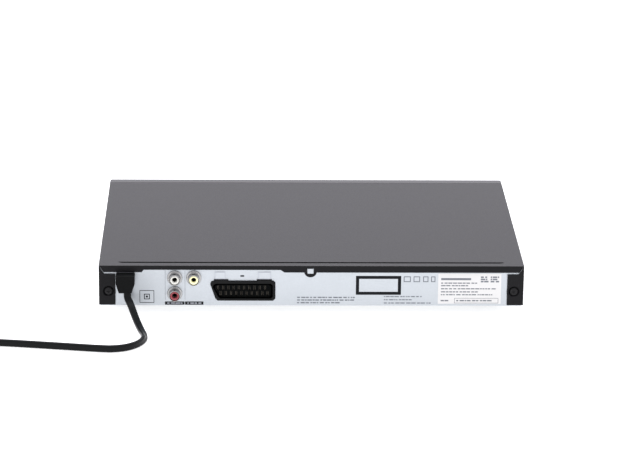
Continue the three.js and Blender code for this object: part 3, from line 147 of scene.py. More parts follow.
def solid(name, points, faces, angle=None):
    """A closed mesh from points in millimetres, its faces outward."""
    mesh = mesh_from(name, points, faces)
    with editing(mesh) as body:
        bmesh.ops.remove_doubles(body, verts=body.verts, dist=SAME_POINT)
        bmesh.ops.recalc_face_normals(body, faces=body.faces)
    if angle:
        smooth(mesh, angle)
    return mesh


def skin(count, rings, start=0):
    """Faces round successive rings of points, and across the first and the last ring."""
    last = start + (rings - 1) * count
    faces = [(a + k, a + (k + 1) % count, a + count + (k + 1) % count, a + count + k)
             for a in range(start, last, count) for k in range(count)]
    return faces + [tuple(range(start, start + count)), tuple(range(last, last + count))]


def settle(piece):
    """Turns a piece's modifiers into plain mesh."""
    graph = bpy.context.evaluated_depsgraph_get()
    finished = bpy.data.meshes.new_from_object(
        piece.evaluated_get(graph), preserve_all_data_layers=True, depsgraph=graph)
    piece.modifiers.clear()
    old = piece.data
    piece.data = finished
    bpy.data.meshes.remove(old)


def bevel(piece, width, steps, angle, by="ANGLE"):
    """Breaks a piece's sharp edges, and shades its broad faces flat up to them."""
    edges = piece.modifiers.new("edges", "BEVEL")
    edges.width, edges.segments, edges.limit_method = width * MM, steps, by
    edges.angle_limit = math.radians(angle)
    settle(piece)
    smooth(piece.data, 40)
    level = piece.modifiers.new("level", "WEIGHTED_NORMAL")
    level.weight, level.keep_sharp = 100, True
    settle(piece)


def seat(piece, slot, *stood_for):
    """A finished piece rides on its slot's body and stands for nodes."""
    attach(piece, body_of[slot])
    if stood_for:
        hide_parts(*stood_for)
    return piece


# ---- Turned shapes, and geometry trees for what repeats ----
TURNED_ANGLE = 35  # degrees: edges that turn by more stay sharp


def rounded(corners, steps):
    """An outline of (u, v, radius) corners with each corner rounded by its radius."""
    line = []
    for i, (u, v, radius) in enumerate(corners):
        corner = Vector((u, v))
        if not radius:
            line.append(corner)
            continue
        before, after = (Vector(corners[(i + k) % len(corners)][:2]) - corner for k in (-1, 1))
        # just under half a side, so that two roundings never meet
        reach = min(radius / math.tan(before.angle(after) / 2), before.length * 0.49,
                    after.length * 0.49)
        start, end = (corner + way.normalized() * reach for way in (before, after))
        for k in range(steps + 1):
            t = k / steps
            line.append((1 - t) ** 2 * start + 2 * t * (1 - t) * corner + t * t * end)
    return [tuple(p) for p in line]


def turned(name, profile, axis="y", sides=64):
    """A turned mesh about an axis through zero, from (radius, place along the axis) pairs. The
    profile starts and ends on the axis, or closes on itself."""
    points, faces, rings = [], [], []
    for radius, along in profile:
        ring = []
        for k in range(sides if radius > 1e-6 else 1):
            angle = 2 * math.pi * k / sides
            u, v = radius * math.cos(angle), radius * math.sin(angle)
            ring.append(len(points))
            points.append((u, along, v) if axis == "y" else (u, v, along))
        rings.append(ring)
    pairs = list(zip(rings, rings[1:]))
    if len(rings[0]) > 1 and len(rings[-1]) > 1:
        pairs.append((rings[-1], rings[0]))
    for a, b in pairs:
        for k in range(sides):
            corners = (a[k % len(a)], a[(k + 1) % len(a)], b[(k + 1) % len(b)], b[k % len(b)])
            face = tuple(dict.fromkeys(corners))
            if len(face) > 2:
                faces.append(face)
    return solid(name, points, faces, TURNED_ANGLE)


def start_tree(name, *sizes):
    """A new geometry tree as what adds to it and its inputs: places, finish and named sizes."""
    tree = bpy.data.node_groups.new(name, "GeometryNodeTree")
    kinds = {"Places": "Geometry", "Finish": "Material", "Piece": "Object", "Count": "Int",
             "Seed": "Int"}
    for label in ("Places", "Finish", *sizes):
        tree.interface.new_socket(
            label, in_out="INPUT", socket_type="NodeSocket" + kinds.get(label, "Float"))
    tree.interface.new_socket("Pieces", in_out="OUTPUT", socket_type="NodeSocketGeometry")
    put = functools.partial(add, tree)
    return put, put("NodeGroupInput").outputs


def end_tree(put, given, shape, spread=True, **placing):
    """Sets a shape out at the places, makes it real and gives it its finish."""
    if spread:
        copies = put("GeometryNodeInstanceOnPoints", {
            "Points": given["Places"], "Instance": shape, **placing})
        shape = copies.outputs["Instances"]
    real = put("GeometryNodeRealizeInstances", {"Geometry": shape})
    dressed = put("GeometryNodeSetMaterial", {
        "Geometry": real.outputs[0], "Material": given["Finish"]})
    put("NodeGroupOutput", {"Pieces": dressed.outputs[0]})
    return given["Finish"].id_data


def grown(name, tree, places, sizes, slot, *stood_for, edges=()):
    """What a tree makes of places or a line in millimetres, as one plain mesh."""
    piece = new_object(name, mesh_from(name + "_places", places, edges=edges))
    modifier = piece.modifiers.new("tree", "NODES")
    modifier.node_group = tree
    for socket in tree.interface.items_tree:
        if socket.in_out == "INPUT" and socket.name in sizes:
            modifier[socket.identifier] = sizes[socket.name]
    settle(piece)
    smooth(piece.data, TURNED_ANGLE)
    return seat(piece, slot, *stood_for)


def make_set_out():
    """One piece, set out at each place."""
    put, given = start_tree("set_out", "Piece")
    shape = put("GeometryNodeObjectInfo", {"Object": given["Piece"]})
    return end_tree(put, given, shape.outputs["Geometry"])


def make_screws():
    """Domed screw heads with a cross recess, their axis tilted about X."""
    put, given = start_tree("screws", "Head radius", "Head height", "Recess reach",
                            "Recess width", "Recess depth", "Tilt")
    ball = put("GeometryNodeMeshUVSphere", {"Segments": 32, "Rings": 18})
    point = put("GeometryNodeInputPosition")
    here = put("ShaderNodeSeparateXYZ", {"Vector": point.outputs["Position"]})
    above = put("ShaderNodeMath", {0: here.outputs["Z"], 1: 0.0}, operation="MAXIMUM")
    # a power under one fills the dome out towards a pan head
    crown = put("ShaderNodeMath", {0: above.outputs[0], 1: 0.55}, operation="POWER")
    x, y, z, length, depth = (
        put("ShaderNodeMath", {0: a, 1: b}, operation="MULTIPLY").outputs[0] for a, b in (
            (here.outputs["X"], given["Head radius"]), (here.outputs["Y"], given["Head radius"]),
            (crown.outputs[0], given["Head height"]), (given["Recess reach"], 2.0),
            (given["Recess depth"], 2.0)))
    width = given["Recess width"]
    parts = [put("GeometryNodeSetPosition", {"Geometry": ball.outputs[0], "Position": [x, y, z]})]
    for size in ([length, width, depth], [width, length, depth]):
        bar = put("GeometryNodeMeshCube", {"Size": size})
        parts.append(put("GeometryNodeTransform", {
            "Geometry": bar.outputs[0], "Translation": [0.0, 0.0, given["Head height"]]}))
    # cut at a thousand times the size, because the cut is only clean on shapes of some size
    head, bar, other = (put("GeometryNodeTransform", {
        "Geometry": part.outputs[0], "Scale": (1 / MM,) * 3}).outputs[0] for part in parts)
    cross = put("GeometryNodeMeshBoolean", {1: (bar, other)}, operation="UNION", solver="EXACT")
    cut = put("GeometryNodeMeshBoolean", {0: head, 1: cross.outputs[0]}, operation="DIFFERENCE",
              solver="EXACT")
    small = put("GeometryNodeTransform", {"Geometry": cut.outputs[0], "Scale": (MM,) * 3})
    tilt = put("FunctionNodeEulerToRotation", {"Euler": [given["Tilt"], 0.0, 0.0]})
    return end_tree(put, given, small.outputs[0], Rotation=tilt.outputs["Rotation"])


def make_blades():
    """Pairs of spring leaves that face each other across a slot, behind each place."""
    put, given = start_tree("blades", "Leaf thickness", "Leaf height", "Leaf depth", "Spread",
                            "Setback")
    back = put("ShaderNodeMath", {
        0: given["Leaf depth"], 1: -0.5, 2: given["Setback"]}, operation="MULTIPLY_ADD")
    leaf = put("GeometryNodeMeshCube", {
        "Size": [given["Leaf thickness"], given["Leaf depth"], given["Leaf height"]]})
    leaves = []
    for side in (0.5, -0.5):
        out = put("ShaderNodeMath", {0: given["Spread"], 1: side}, operation="MULTIPLY")
        leaves.append(put("GeometryNodeTransform", {
            "Geometry": leaf.outputs[0],
            "Translation": [out.outputs[0], back.outputs[0], 0.0]}).outputs[0])
    pair = put("GeometryNodeJoinGeometry", {0: tuple(leaves)})
    return end_tree(put, given, pair.outputs[0])


def make_thread():
    """A round-crested thread along +Y from its place."""
    put, given = start_tree("thread", "Radius", "Turns", "Length", "Crest")
    helix = put("GeometryNodeCurveSpiral", {
        "Resolution": 20, "Rotations": given["Turns"], "Start Radius": given["Radius"],
        "End Radius": given["Radius"], "Height": given["Length"]})
    crest = put("GeometryNodeCurvePrimitiveCircle", {"Resolution": 6, "Radius": given["Crest"]})
    wire = put("GeometryNodeCurveToMesh", {
        "Curve": helix.outputs[0], "Profile Curve": crest.outputs[0], "Fill Caps": True})
    return end_tree(put, given, wire.outputs[0], Rotation=(-math.pi / 2, 0.0, 0.0))


def make_pins():
    """A pin along a bent line, set out in a row on each of a chip's four sides."""
    put, given = start_tree("pins", "Count", "Pitch", "Pin width", "Pin thickness")
    gaps = put("ShaderNodeMath", {0: given["Count"], 1: 1.0}, operation="SUBTRACT")
    first = put("ShaderNodeMath", {0: gaps.outputs[0], 1: -0.5}, operation="MULTIPLY")
    start = put("ShaderNodeMath", {0: first.outputs[0], 1: given["Pitch"]}, operation="MULTIPLY")
    row = put("GeometryNodeMeshLine", {
        "Count": given["Count"], "Start Location": [start.outputs[0], 0.0, 0.0],
        "Offset": [given["Pitch"], 0.0, 0.0]})
    section = put("GeometryNodeCurvePrimitiveQuadrilateral", {
        "Width": given["Pin width"], "Height": given["Pin thickness"]})
    line = put("GeometryNodeMeshToCurve", {"Mesh": given["Places"]})
    pin = put("GeometryNodeCurveToMesh", {
        "Curve": line.outputs[0], "Profile Curve": section.outputs[0], "Fill Caps": True})
    side = put("GeometryNodeInstanceOnPoints", {
        "Points": row.outputs[0], "Instance": pin.outputs[0]})
    sides = put("GeometryNodeJoinGeometry", {0: tuple(put("GeometryNodeTransform", {
        "Geometry": side.outputs[0], "Rotation": (0.0, 0.0, quarter * math.pi / 2)}).outputs[0]
        for quarter in range(4))})
    return end_tree(put, given, sides.outputs[0], spread=False)


def make_rings():
    """Rounded rectangular ribs round a neck, one at each place."""
    put, given = start_tree("rings", "Width", "Thickness", "Corner", "Rib radius")
    outline = put("GeometryNodeCurvePrimitiveQuadrilateral", {
        "Width": given["Width"], "Height": given["Thickness"]})
    soft = put("GeometryNodeFilletCurve", {
        "Curve": outline.outputs[0], "Radius": given["Corner"], "Count": 1}, mode="POLY")
    rib = put("GeometryNodeCurvePrimitiveCircle", {
        "Resolution": 10, "Radius": given["Rib radius"]})
    ring = put("GeometryNodeCurveToMesh", {
        "Curve": soft.outputs[0], "Profile Curve": rib.outputs[0]})
    return end_tree(put, given, ring.outputs[0], Rotation=(math.pi / 2, 0.0, 0.0))


def make_board_parts():
    """Small blocks of seeded sizes, one on each place."""
    put, given = start_tree("board_parts", "Seed", "Least", "Most", "Height")
    block = put("GeometryNodeMeshCube")
    raised = put("GeometryNodeTransform", {
        "Geometry": block.outputs[0], "Translation": (0.0, 0.0, 0.5)})
    sides = []
    for shift in (0.0, 1.0):
        seed = put("ShaderNodeMath", {0: given["Seed"], 1: shift}, operation="ADD")
        # inputs 2 and 3 and output 1 are numbers: other kinds bear the same names
        side = put("FunctionNodeRandomValue", {
            2: given["Least"], 3: given["Most"], "Seed": seed.outputs[0]})
        sides.append(side.outputs[1])
    return end_tree(put, given, raised.outputs[0], Scale=[*sides, given["Height"]])


SET_OUT, SCREWS, BLADES, THREAD = make_set_out(), make_screws(), make_blades(), make_thread()
PINS, RINGS, BOARD_PARTS = make_pins(), make_rings(), make_board_parts()


def set_out(name, mesh, places, material, slot, *stood_for):
    """A shape made about zero, repeated at its places as one piece."""
    pattern = new_object(name + "_pattern", mesh)
    piece = grown(name, SET_OUT, places, {"Piece": pattern, "Finish": material}, slot, *stood_for)
    bpy.data.objects.remove(pattern)
    return piece


# ---- Mains lead: a flat twin cord, down from the bush and on edge along the floor to its coil ----
CORD = {"wide": 5.4, "thin": 3.2, "waist": 0.3}
COIL = {"x": 270.0, "y": 127.5, "outer": 37.5, "pitch": 4.2, "turns": 7.25, "low": 3.5,
        "high": 9.35, "climb": 0.25, "steps": 48}
CORD_ROUTE = [
    (134.2, 105.6, 20.6), (134.1, 105.8, 18.6), (133.9, 106.4, 15.2), (131.5, 110.0, 10.7),
    (129.1, 117.0, 6.9), (126.3, 127.0, 3.9), (123.1, 139.0, 2.15), (121.0, 148.5, 2.25),
    (120.6, 158.9, 2.85), (124.6, 168.4, 2.85), (132.3, 175.3, 2.8), (142.2, 178.3, 2.8),
    (152.0, 177.6, 2.8), (170.0, 174.6, 2.8), (192.0, 170.9, 2.8), (214.0, 167.6, 2.9),
    (236.0, 165.6, 3.1), (252.0, 165.0, 3.4), (264.3, 165.0, 3.5),
]
TAIL_ROUTE = [
    (307.5, 121.8, 9.35), (307.5, 116.5, 8.9), (307.4, 107.5, 7.3), (307.3, 100.5, 6.85),
    (307.3, 94.0, 6.85), (307.3, 92.6, 6.85),
]
# shares of a stretch between which the cord turns on edge, or flat again
DOWN_TURN, TAIL_TURN = (0.17, 0.37), (0.0, 1.0)


def ease(t):
    t = min(max(t, 0.0), 1.0)
    return t * t * (3 - 2 * t)


def through(route, per):
    """Points on a smooth curve through a route, at even shares of each stretch."""
    p = [Vector(q) for q in route]
    p = [2 * p[0] - p[1], *p, 2 * p[-1] - p[-2]]
    line = []
    for i in range(1, len(p) - 2):
        d = [(p[i + k] - p[i + k - 1]).length ** 0.5 for k in (0, 1, 2)]
        lean = [
            (p[i + k] - p[i + k - 1]) / d[k] - (p[i + k + 1] - p[i + k - 1]) / (d[k] + d[k + 1])
            + (p[i + k + 1] - p[i + k]) / d[k + 1] for k in (0, 1)
        ]
        m0, m1 = lean[0] * d[1], lean[1] * d[1]
        for j in range(per):
            t = j / per
            line.append(
                p[i] * (2 * t ** 3 - 3 * t ** 2 + 1) + m0 * (t ** 3 - 2 * t ** 2 + t)
                + p[i + 1] * (3 * t ** 2 - 2 * t ** 3) + m1 * (t ** 3 - t ** 2))
    line.append(p[-2])
    return line


def coil_line():
    """The coil's middle line: inwards on the floor, up one layer, and outwards again."""
    inner = COIL["outer"] - COIL["pitch"] * COIL["turns"] / 2
    count = round(COIL["turns"] * COIL["steps"])
    line = []
    for i in range(count + 1):
        gone = COIL["turns"] * i / count
        u = gone - COIL["turns"] / 2
        out = 2 * u * u + COIL["climb"] / 2 if abs(u) < COIL["climb"] else abs(u)
        radius = inner + COIL["pitch"] * out
        rise = ease((u + COIL["climb"]) / (2 * COIL["climb"]))
        angle = math.pi / 2 - 2 * math.pi * gone
        line.append(Vector((
            COIL["x"] + radius * math.cos(angle), COIL["y"] + radius * math.sin(angle),
            COIL["low"] + (COIL["high"] - COIL["low"]) * rise)))
    return line


def lead_line():
    """The lead's middle line and, at each point, the direction of its wide side."""
    across, upright = Vector((1, 0, 0)), Vector((0, 0, 1))

    def twisted(points, start, end, first, last):
        run = [0.0]
        for a, b in zip(points, points[1:]):
            run.append(run[-1] + (b - a).length)
        return [first.lerp(last, ease((r / run[-1] - start) / (end - start))) for r in run]

    down, wound, tail = through(CORD_ROUTE, 6), coil_line(), through(TAIL_ROUTE, 5)
    wide = twisted(down, *DOWN_TURN, across, upright) + [upright] * len(wound)
    return down + wound + tail, wide + twisted(tail, *TAIL_TURN, upright, across)


def cord_section(steps=8):
    """The cord's outline: two round sides and a shallow waist along each flat."""
    round_radius = CORD["thin"] / 2
    reach = CORD["wide"] / 2 - round_radius
    outline = []
    for side in (1, -1):
        for k in range(steps + 1):
            angle = -math.pi / 2 + math.pi * k / steps
            outline.append((side * (reach + round_radius * math.cos(angle)),
                            side * round_radius * math.sin(angle)))
        outline.append((0.0, side * (round_radius - CORD["waist"])))
    return outline


def make_lead(material):
    """The lead as one piece, with its path and its length in metres."""
    line, wide = lead_line()
    section = cord_section()
    points = []
    for i, point in enumerate(line):
        ahead = (line[min(i + 1, len(line) - 1)] - line[max(i - 1, 0)]).normalized()
        w = (wide[i] - wide[i].dot(ahead) * ahead).normalized()
        n = ahead.cross(w)
        points += [point + w * u + n * v for u, v in section]
    mesh = solid("mains_lead", points, skin(len(section), len(line)), 60)
    length = sum((b - a).length for a, b in zip(line, line[1:])) * MM
    return new_object("mains_lead", mesh, material), [tuple(p * MM) for p in line], length


# ---- Finishes: each is a real material with its surface, its pattern sizes in millimetres ----
PATCH = 20.0


def finish(name, base, rough, second, metal=0.0, ior=1.5, grain=0.5, relief=0.0,
           stretch=(1, 1, 1), shine=0.5, sheen=0.0, clear=0.0, glow=0.0):
    """A surface with two close tones in soft patches, and a fine grain in its roughness and its
    relief. grain is the grain's size and relief its height. shine is the strength of the mirror
    light, 0.5 as the IOR alone gives."""
    material = bpy.data.materials.new(name)
    material.use_nodes = True
    tree = material.node_tree
    tree.nodes.clear()
    place = add(tree, "ShaderNodeTexCoord")
    drawn = add(tree, "ShaderNodeMapping", {"Vector": place.outputs["Object"], "Scale": stretch})
    fine = add(tree, "ShaderNodeTexNoise", {
        "Vector": drawn.outputs["Vector"], "Scale": 1 / (grain * MM), "Detail": 3.0,
        "Roughness": 0.6})
    broad = add(tree, "ShaderNodeTexNoise", {
        "Vector": drawn.outputs["Vector"], "Scale": 1 / (PATCH * MM)})
    mixed = add(tree, "ShaderNodeMath", {
        0: fine.outputs["Fac"], 1: broad.outputs["Fac"]}, operation="ADD")
    # most of a noise lies within 0.3 and 0.7, and most of the sum of two within 0.7 and 1.3
    tone = add(tree, "ShaderNodeMapRange", {
        "Value": mixed.outputs[0], "From Min": 0.7, "From Max": 1.3})
    # inputs 6 and 7 and output 2 are colours: other kinds bear the same names
    colour = add(tree, "ShaderNodeMix", {
        0: tone.outputs["Result"], 6: linear(base), 7: linear(second)}, data_type="RGBA")
    gloss = add(tree, "ShaderNodeMapRange", {
        "Value": fine.outputs["Fac"], "From Min": 0.3, "From Max": 0.7, "To Min": rough[0],
        "To Max": rough[1]})
    shader = add(tree, "ShaderNodeBsdfPrincipled", {
        "Base Color": colour.outputs[2], "Roughness": gloss.outputs["Result"],
        "Metallic": metal, "IOR": ior, "Specular IOR Level": shine, "Sheen Weight": sheen,
        "Transmission Weight": clear, "Emission Strength": glow})
    if relief:
        bump = add(tree, "ShaderNodeBump", {
            "Height": fine.outputs["Fac"], "Distance": relief * MM})
        tree.links.new(bump.outputs["Normal"], shader.inputs["Normal"])
    add(tree, "ShaderNodeOutputMaterial", {"Surface": shader.outputs["BSDF"]})
    return material


# Cover: stoved epoxy paint on steel, near black, mid grey where it mirrors the room
paint = finish("stoved_black_paint", "09090b", (0.34, 0.42), "0c0c0e", ior=1.36, grain=0.7,
               relief=0.004, shine=0.24)
# Rear panel and pan: zinc plate on rolled steel, satin, with a faint spangle
zinc = finish(
    "zinc_plated_steel", "b1b6b9", (0.36, 0.42), "adb2b5", metal=1.0, grain=1.2, relief=0.0008)
# Fascia, door and keys: high-gloss ABS, deep black, a clean mirror
gloss_abs = finish(
    "moulded_gloss_abs", "0b0b0c", (0.14, 0.2), "0d0d0e", grain=1.5, relief=0.0006, shine=0.13)
# Traverse: grey ABS with a fine spark-eroded skin
grey_abs = finish("moulded_grey_abs", "4a4a4c", (0.36, 0.46), "464648", relief=0.005, shine=0.4)
# Tray and loader: black ABS with that skin, which also stands for the cover screws' black
black_abs = finish("moulded_black_abs", "0e0e0f", (0.38, 0.5), "121213", relief=0.006, shine=0.2)
# Long socket: black PBT with a soft lustre
socket_pbt = finish(
    "moulded_socket_pbt", "060707", (0.3, 0.4), "090a0a", grain=0.6, relief=0.003, shine=0.13)
# Its core: the same PBT, made darker and without lustre, as painted shade in the recess within the
# rim
socket_core_painted_shade = finish(
    "socket_pbt_painted_shade", "040505", (0.55, 0.65), "060707", relief=0.004, shine=0.03)
# Bush, plug and tie: soft moulded PVC, a dull black
soft_pvc = finish(
    "moulded_soft_pvc", "070808", (0.42, 0.55), "0b0c0c", grain=0.6, relief=0.008, shine=0.08)
# Cord: the same PVC, a little glossier where it is drawn
cord_pvc = finish(
    "drawn_cord_pvc", "050707", (0.26, 0.34), "080a0a", grain=0.8, relief=0.004, shine=0.12)
# Feet, belt and turntable pad: rubber, dull and a little dusty
foot_rubber = finish(
    "foot_rubber", "1a1a1a", (0.75, 0.9), "242424", grain=0.4, relief=0.01, sheen=0.05)
# Barrels, plug pins and bright trim: nickel plate, a warm grey mirror
nickel = finish(
    "nickel_plate", "9b9b99", (0.14, 0.24), "919190", metal=1.0, grain=0.8, relief=0.001)
# Guide rods and chip pins: ground steel, with its marks lengthwise
steel_bright = finish("ground_steel", "b9bbbe", (0.22, 0.32), "aeb0b4", metal=1.0, grain=0.4,
                      relief=0.001, stretch=(1, 0.15, 1))
# Motor cans and the pickup's base: drawn steel
can_steel = finish(
    "drawn_steel_can", "b5b8bb", (0.28, 0.4), "a8abaf", metal=1.0, grain=0.6, relief=0.002)
# Pulley, lead screw and serial contacts: turned brass
brass = finish(
    "turned_brass", "c8a35a", (0.22, 0.34), "b8924a", metal=1.0, grain=0.4, relief=0.001)
# Spring contacts: phosphor bronze, darkened to a dull brown as painted shade deep in their slots
# and holes
contact_metal_painted_shade = finish("contact_bronze_painted_shade", "4e4b45", (0.35, 0.5), "44413c", metal=1.0, grain=0.4)
# Screws under the pan: zinc plate on steel
plated_screw = finish(
    "plated_screw", "8f9398", (0.2, 0.32), "868a8f", metal=1.0, grain=0.3, relief=0.002)
# Inserts of the round sockets: coloured polypropylene, a little milky
inserts = {colour: finish("moulded_%s_pp" % colour, base, (0.32, 0.42), second, relief=0.003)
           for colour, base, second in (
               ("white", "d8d8d0", "d2d2ca"), ("yellow", "f8f6c8", "f2f0c0"),
               ("red", "96464b", "8c3d42"))}
# Gears and cam: acetal, milky with a waxy gloss
acetal = finish("moulded_acetal", "c6c4b8", (0.3, 0.4), "bdbbae", grain=0.6, relief=0.003)
# Window: smoked acrylic, a deep gloss pane
smoked = finish(
    "smoked_acrylic", "050507", (0.03, 0.06), "060609", ior=1.49, grain=2.0, shine=0.25)
# Standby lamp: clear red acrylic
lamp_red = finish(
    "red_lamp_acrylic", "7a1418", (0.05, 0.1), "8a1a1e", ior=1.49, grain=1.0, clear=0.3)
# Main and front boards: green solder mask over glass laminate
board_green = finish("green_solder_mask", "24592f", (0.3, 0.42), "1f4d29", grain=2.5, relief=0.01)
# Power board: bare paper laminate
board_tan = finish(
    "bare_paper_laminate", "a98350", (0.45, 0.6), "9b7644", grain=1.2, relief=0.006)
# Chips: moulded epoxy
epoxy = finish("moulded_epoxy", "1b1b1d", (0.5, 0.62), "212123", grain=0.3, relief=0.004)
# Small capacitors: fired ceramic
ceramic = finish("fired_ceramic", "b39a6c", (0.4, 0.5), "a48a5c", grain=0.4, relief=0.002)
# Transformer: sintered ferrite
ferrite = finish("sintered_ferrite", "3a3836", (0.6, 0.75), "444240", grain=0.6, relief=0.01)
# Large capacitors: shrunk sleeves
sleeve = finish("shrink_sleeve", "22243a", (0.24, 0.34), "1d1f33", grain=1.0, relief=0.003)
# Ribbon cable: plastic film
film = finish("ribbon_film", "c4c8cc", (0.3, 0.4), "babec3", grain=0.8, stretch=(1, 6, 1))
# Lens: coated glass
lens_glass = finish(
    "coated_lens_glass", "5d7fa6", (0.03, 0.06), "6a8fb8", ior=1.52, grain=3.0, clear=0.6)
# Printing: matt screen inks
ink_grey = finish("printed_grey_ink", "666a6f", (0.5, 0.6), "6e7277", grain=0.4, shine=0.2)
ink_pale = finish("printed_pale_ink", "a4a8ae", (0.5, 0.6), "aaaeb4", grain=0.4, shine=0.2)
ink_black = finish("printed_black_ink", "0a0c0f", (0.45, 0.55), "0d0f12", grain=0.4, shine=0.12)
ink_white = finish("printed_white_ink", "c9cbcd", (0.45, 0.55), "c2c4c6", grain=0.4, shine=0.3)
# Label: white polyester film
label_film = finish("white_label_film", "cdcdca", (0.3, 0.4), "c9c9c6", grain=1.0, relief=0.001)

# The lead comes before the other pieces
lead, lead_path, lead_length = make_lead(cord_pvc)


# ---- Pieces after the fixed frame's own shapes, with their edges broken ----
def node_shape(node):
    """A merged copy of a node's mesh with its flat faces joined."""
    mesh = nodes[node].data.copy()
    with editing(mesh) as body:
        bmesh.ops.remove_doubles(body, verts=body.verts, dist=SAME_NODE_POINT)
        bmesh.ops.dissolve_limit(body, angle_limit=math.radians(FLAT), verts=body.verts,
                                 edges=body.edges, delimit=set())
    return mesh


def broken_edges(node, material, edge, steps=2, folds=None, fold=0.0):
    """A node's shape, its sharp edges broken by a small radius and its folds by a larger one."""
    mesh = node_shape(node)
    if folds:
        weights = mesh.attributes.new("bevel_weight_edge", "FLOAT", "EDGE")
        normals_at = {}
        for polygon in mesh.polygons:
            for key in polygon.edge_keys:
                normals_at.setdefault(key, []).append(polygon.normal)
        for line in mesh.edges:
            normals = normals_at.get(line.key, [])
            if len(normals) == 2 and normals[0].angle(normals[1], 0) > math.radians(SHARP):
                a, b = (mesh.vertices[i].co / MM for i in line.vertices)
                weights.data[line.index].value = 1.0 if folds(a, b) else edge / fold
    piece = new_object(node + "_shell", mesh, material)
    bevel(piece, fold or edge, steps, SHARP, "WEIGHT" if folds else "ANGLE")
    return seat(piece, node, node)


def near(value, target):
    return abs(value - target) < CLOSE


def cover_fold(a, b):
    """The cover's folds: its two sides, its rear lip and its two flaps."""
    top = near(a.z, 38) and near(b.z, 38)
    side = near(abs(a.x), 155) and near(abs(b.x), 155)
    rear = near(a.y, 101) and near(b.y, 101)
    return (top and side) or (top and rear) or (side and rear)


def socket_fold(a, b):
    """The long socket's outer corners: the edges that run straight back along its rim."""
    along = near(a.x, b.x) and near(a.z, b.z)
    outside = a.z > 25 or a.z < 13.2 or a.x > 71 or a.x < 32.5
    return along and outside and max(a.y, b.y) > 101.3 and min(a.y, b.y) < 99.8


# finish, radius of the broken edges, nodes
PLAIN = (
    (zinc, 0.12, "rear_panel"), (zinc, 0.15, "bottom_chassis"), (zinc, 0.2, "clamper_bridge"),
    (gloss_abs, 0.35, "front_panel tray_front open_button play_button stop_button power_button"),
    (smoked, 0.3, "display_window"), (nickel, 0.08, "usb_socket"),
    (board_green, 0.1, "front_board main_board"), (board_tan, 0.1, "power_board"),
    (epoxy, 0.2, "decoder_chip"), (ferrite, 0.4, "transformer"),
    (sleeve, 0.8, "mains_capacitor"), (film, 0.05, "ribbon_cable"),
    (black_abs, 0.3, "jack_block disc_tray clamper turntable"), (black_abs, 0.25, "loader_frame"),
    (grey_abs, 0.2, "traverse_frame"), (can_steel, 0.25, "pickup"),
    (can_steel, 0.4, "spindle_motor sled_motor"), (can_steel, 0.5, "loading_motor"),
    (acetal, 0.3, "cam_slider"), (acetal, 0.15, "tray_gear pulley_gear"),
    (brass, 0.2, "motor_pulley lead_screw"), (foot_rubber, 0.2, "loading_belt"),
    (steel_bright, 0.2, "guide_rod_left guide_rod_right"), (soft_pvc, 0.15, "cord_tie"),
)
shells = {node: broken_edges(node, material, edge)
          for material, edge, members in PLAIN for node in members.split()}
shells["top_cover"] = broken_edges("top_cover", paint, 0.18, 3, cover_fold, 0.9)
shells["scart_socket"] = broken_edges("scart_socket", socket_pbt, 0.22, 4, socket_fold, 1.3)
shells["cord_bush"] = broken_edges("cord_bush", soft_pvc, 1.3, 4)

# ---- Rear sockets: core and contacts of the long one, and the three round ones ----
PANEL_FACE = 99.9
SCART = {"middle": (49.25, 18.575), "pitch": 3.81, "per_row": 10, "row_pitch": 4.3,
         "face": 100.4, "shaded_core_front": 100.9, "shaded_core_half": (19, 5)}


def paint_shade_on_scart_core():
    """The front faces of the block within the rim take the core's finish: a darker PBT, painted
    shade in the recess.
    """
    mesh = shells["scart_socket"].data
    mesh.materials.append(socket_core_painted_shade)
    (x, z), (half_wide, half_high) = SCART["middle"], SCART["shaded_core_half"]
    for polygon in mesh.polygons:
        here = polygon.center / MM
        if (polygon.normal.y > 0.9 and here.y < SCART["shaded_core_front"]
                and abs(here.x - x) < half_wide and abs(here.z - z) < half_high):
            polygon.material_index = 1


def scart_places():
    """The contacts' places: two rows, the upper one half a pitch on from the lower."""
    x, z = SCART["middle"]
    middle = (SCART["per_row"] - 1) / 2
    return [(x + (i - middle + row / 4 + 0.25) * SCART["pitch"], SCART["face"],
             z + row * SCART["row_pitch"] / 2) for row in (-1, 1) for i in range(SCART["per_row"])]


# painted shade: the long socket's core within the rim is finished darker
paint_shade_on_scart_core()
# the contacts' dark bronze is painted shade deep in the slots
grown("scart_contacts", BLADES, scart_places(), {
    "Leaf thickness": 0.3 * MM, "Leaf height": 3.0 * MM, "Leaf depth": 3.2 * MM,
    "Spread": 0.96 * MM, "Setback": -0.7 * MM, "Finish": contact_metal_painted_shade}, "scart_socket")

JACKS = {"white": (99.8, PANEL_FACE, 28.3), "yellow": (85.9, PANEL_FACE, 28.3),
         "red": (99.8, PANEL_FACE, 16.15)}
barrel = turned("jack_barrel", rounded([
    (3.62, -8.8, 0), (4.15, -8.8, 0), (4.15, 0.3, 0), (5.55, 0.3, 0.15), (5.55, 1.1, 0.4),
    (4.15, 1.1, 0.35), (4.15, 6.5, 0.28), (3.6, 6.5, 0.28)], 5))
set_out("jack_barrels", barrel, JACKS.values(), nickel, "jack_barrel_white",
        *("jack_barrel_" + colour for colour in JACKS))
insert = turned("jack_insert", rounded([
    (1.85, -0.9, 0), (3.3, -0.9, 0.2), (3.3, 6.0, 0.6), (2.55, 6.1, 0.4), (1.87, 5.2, 0.3)], 5))
for colour, place in JACKS.items():
    node = "jack_insert_" + colour
    set_out(node + "_ring", insert.copy(), [place], inserts[colour], node, node)
# the round sockets' contacts take the same darkened bronze, painted shade deep in their holes
contact = turned("jack_contact", rounded([
    (1.45, -0.8, 0), (1.8, -0.8, 0), (1.8, 3.2, 0.12), (1.45, 3.2, 0.12)], 3), sides=32)
set_out("jack_contacts", contact, JACKS.values(), contact_metal_painted_shade, "jack_block")

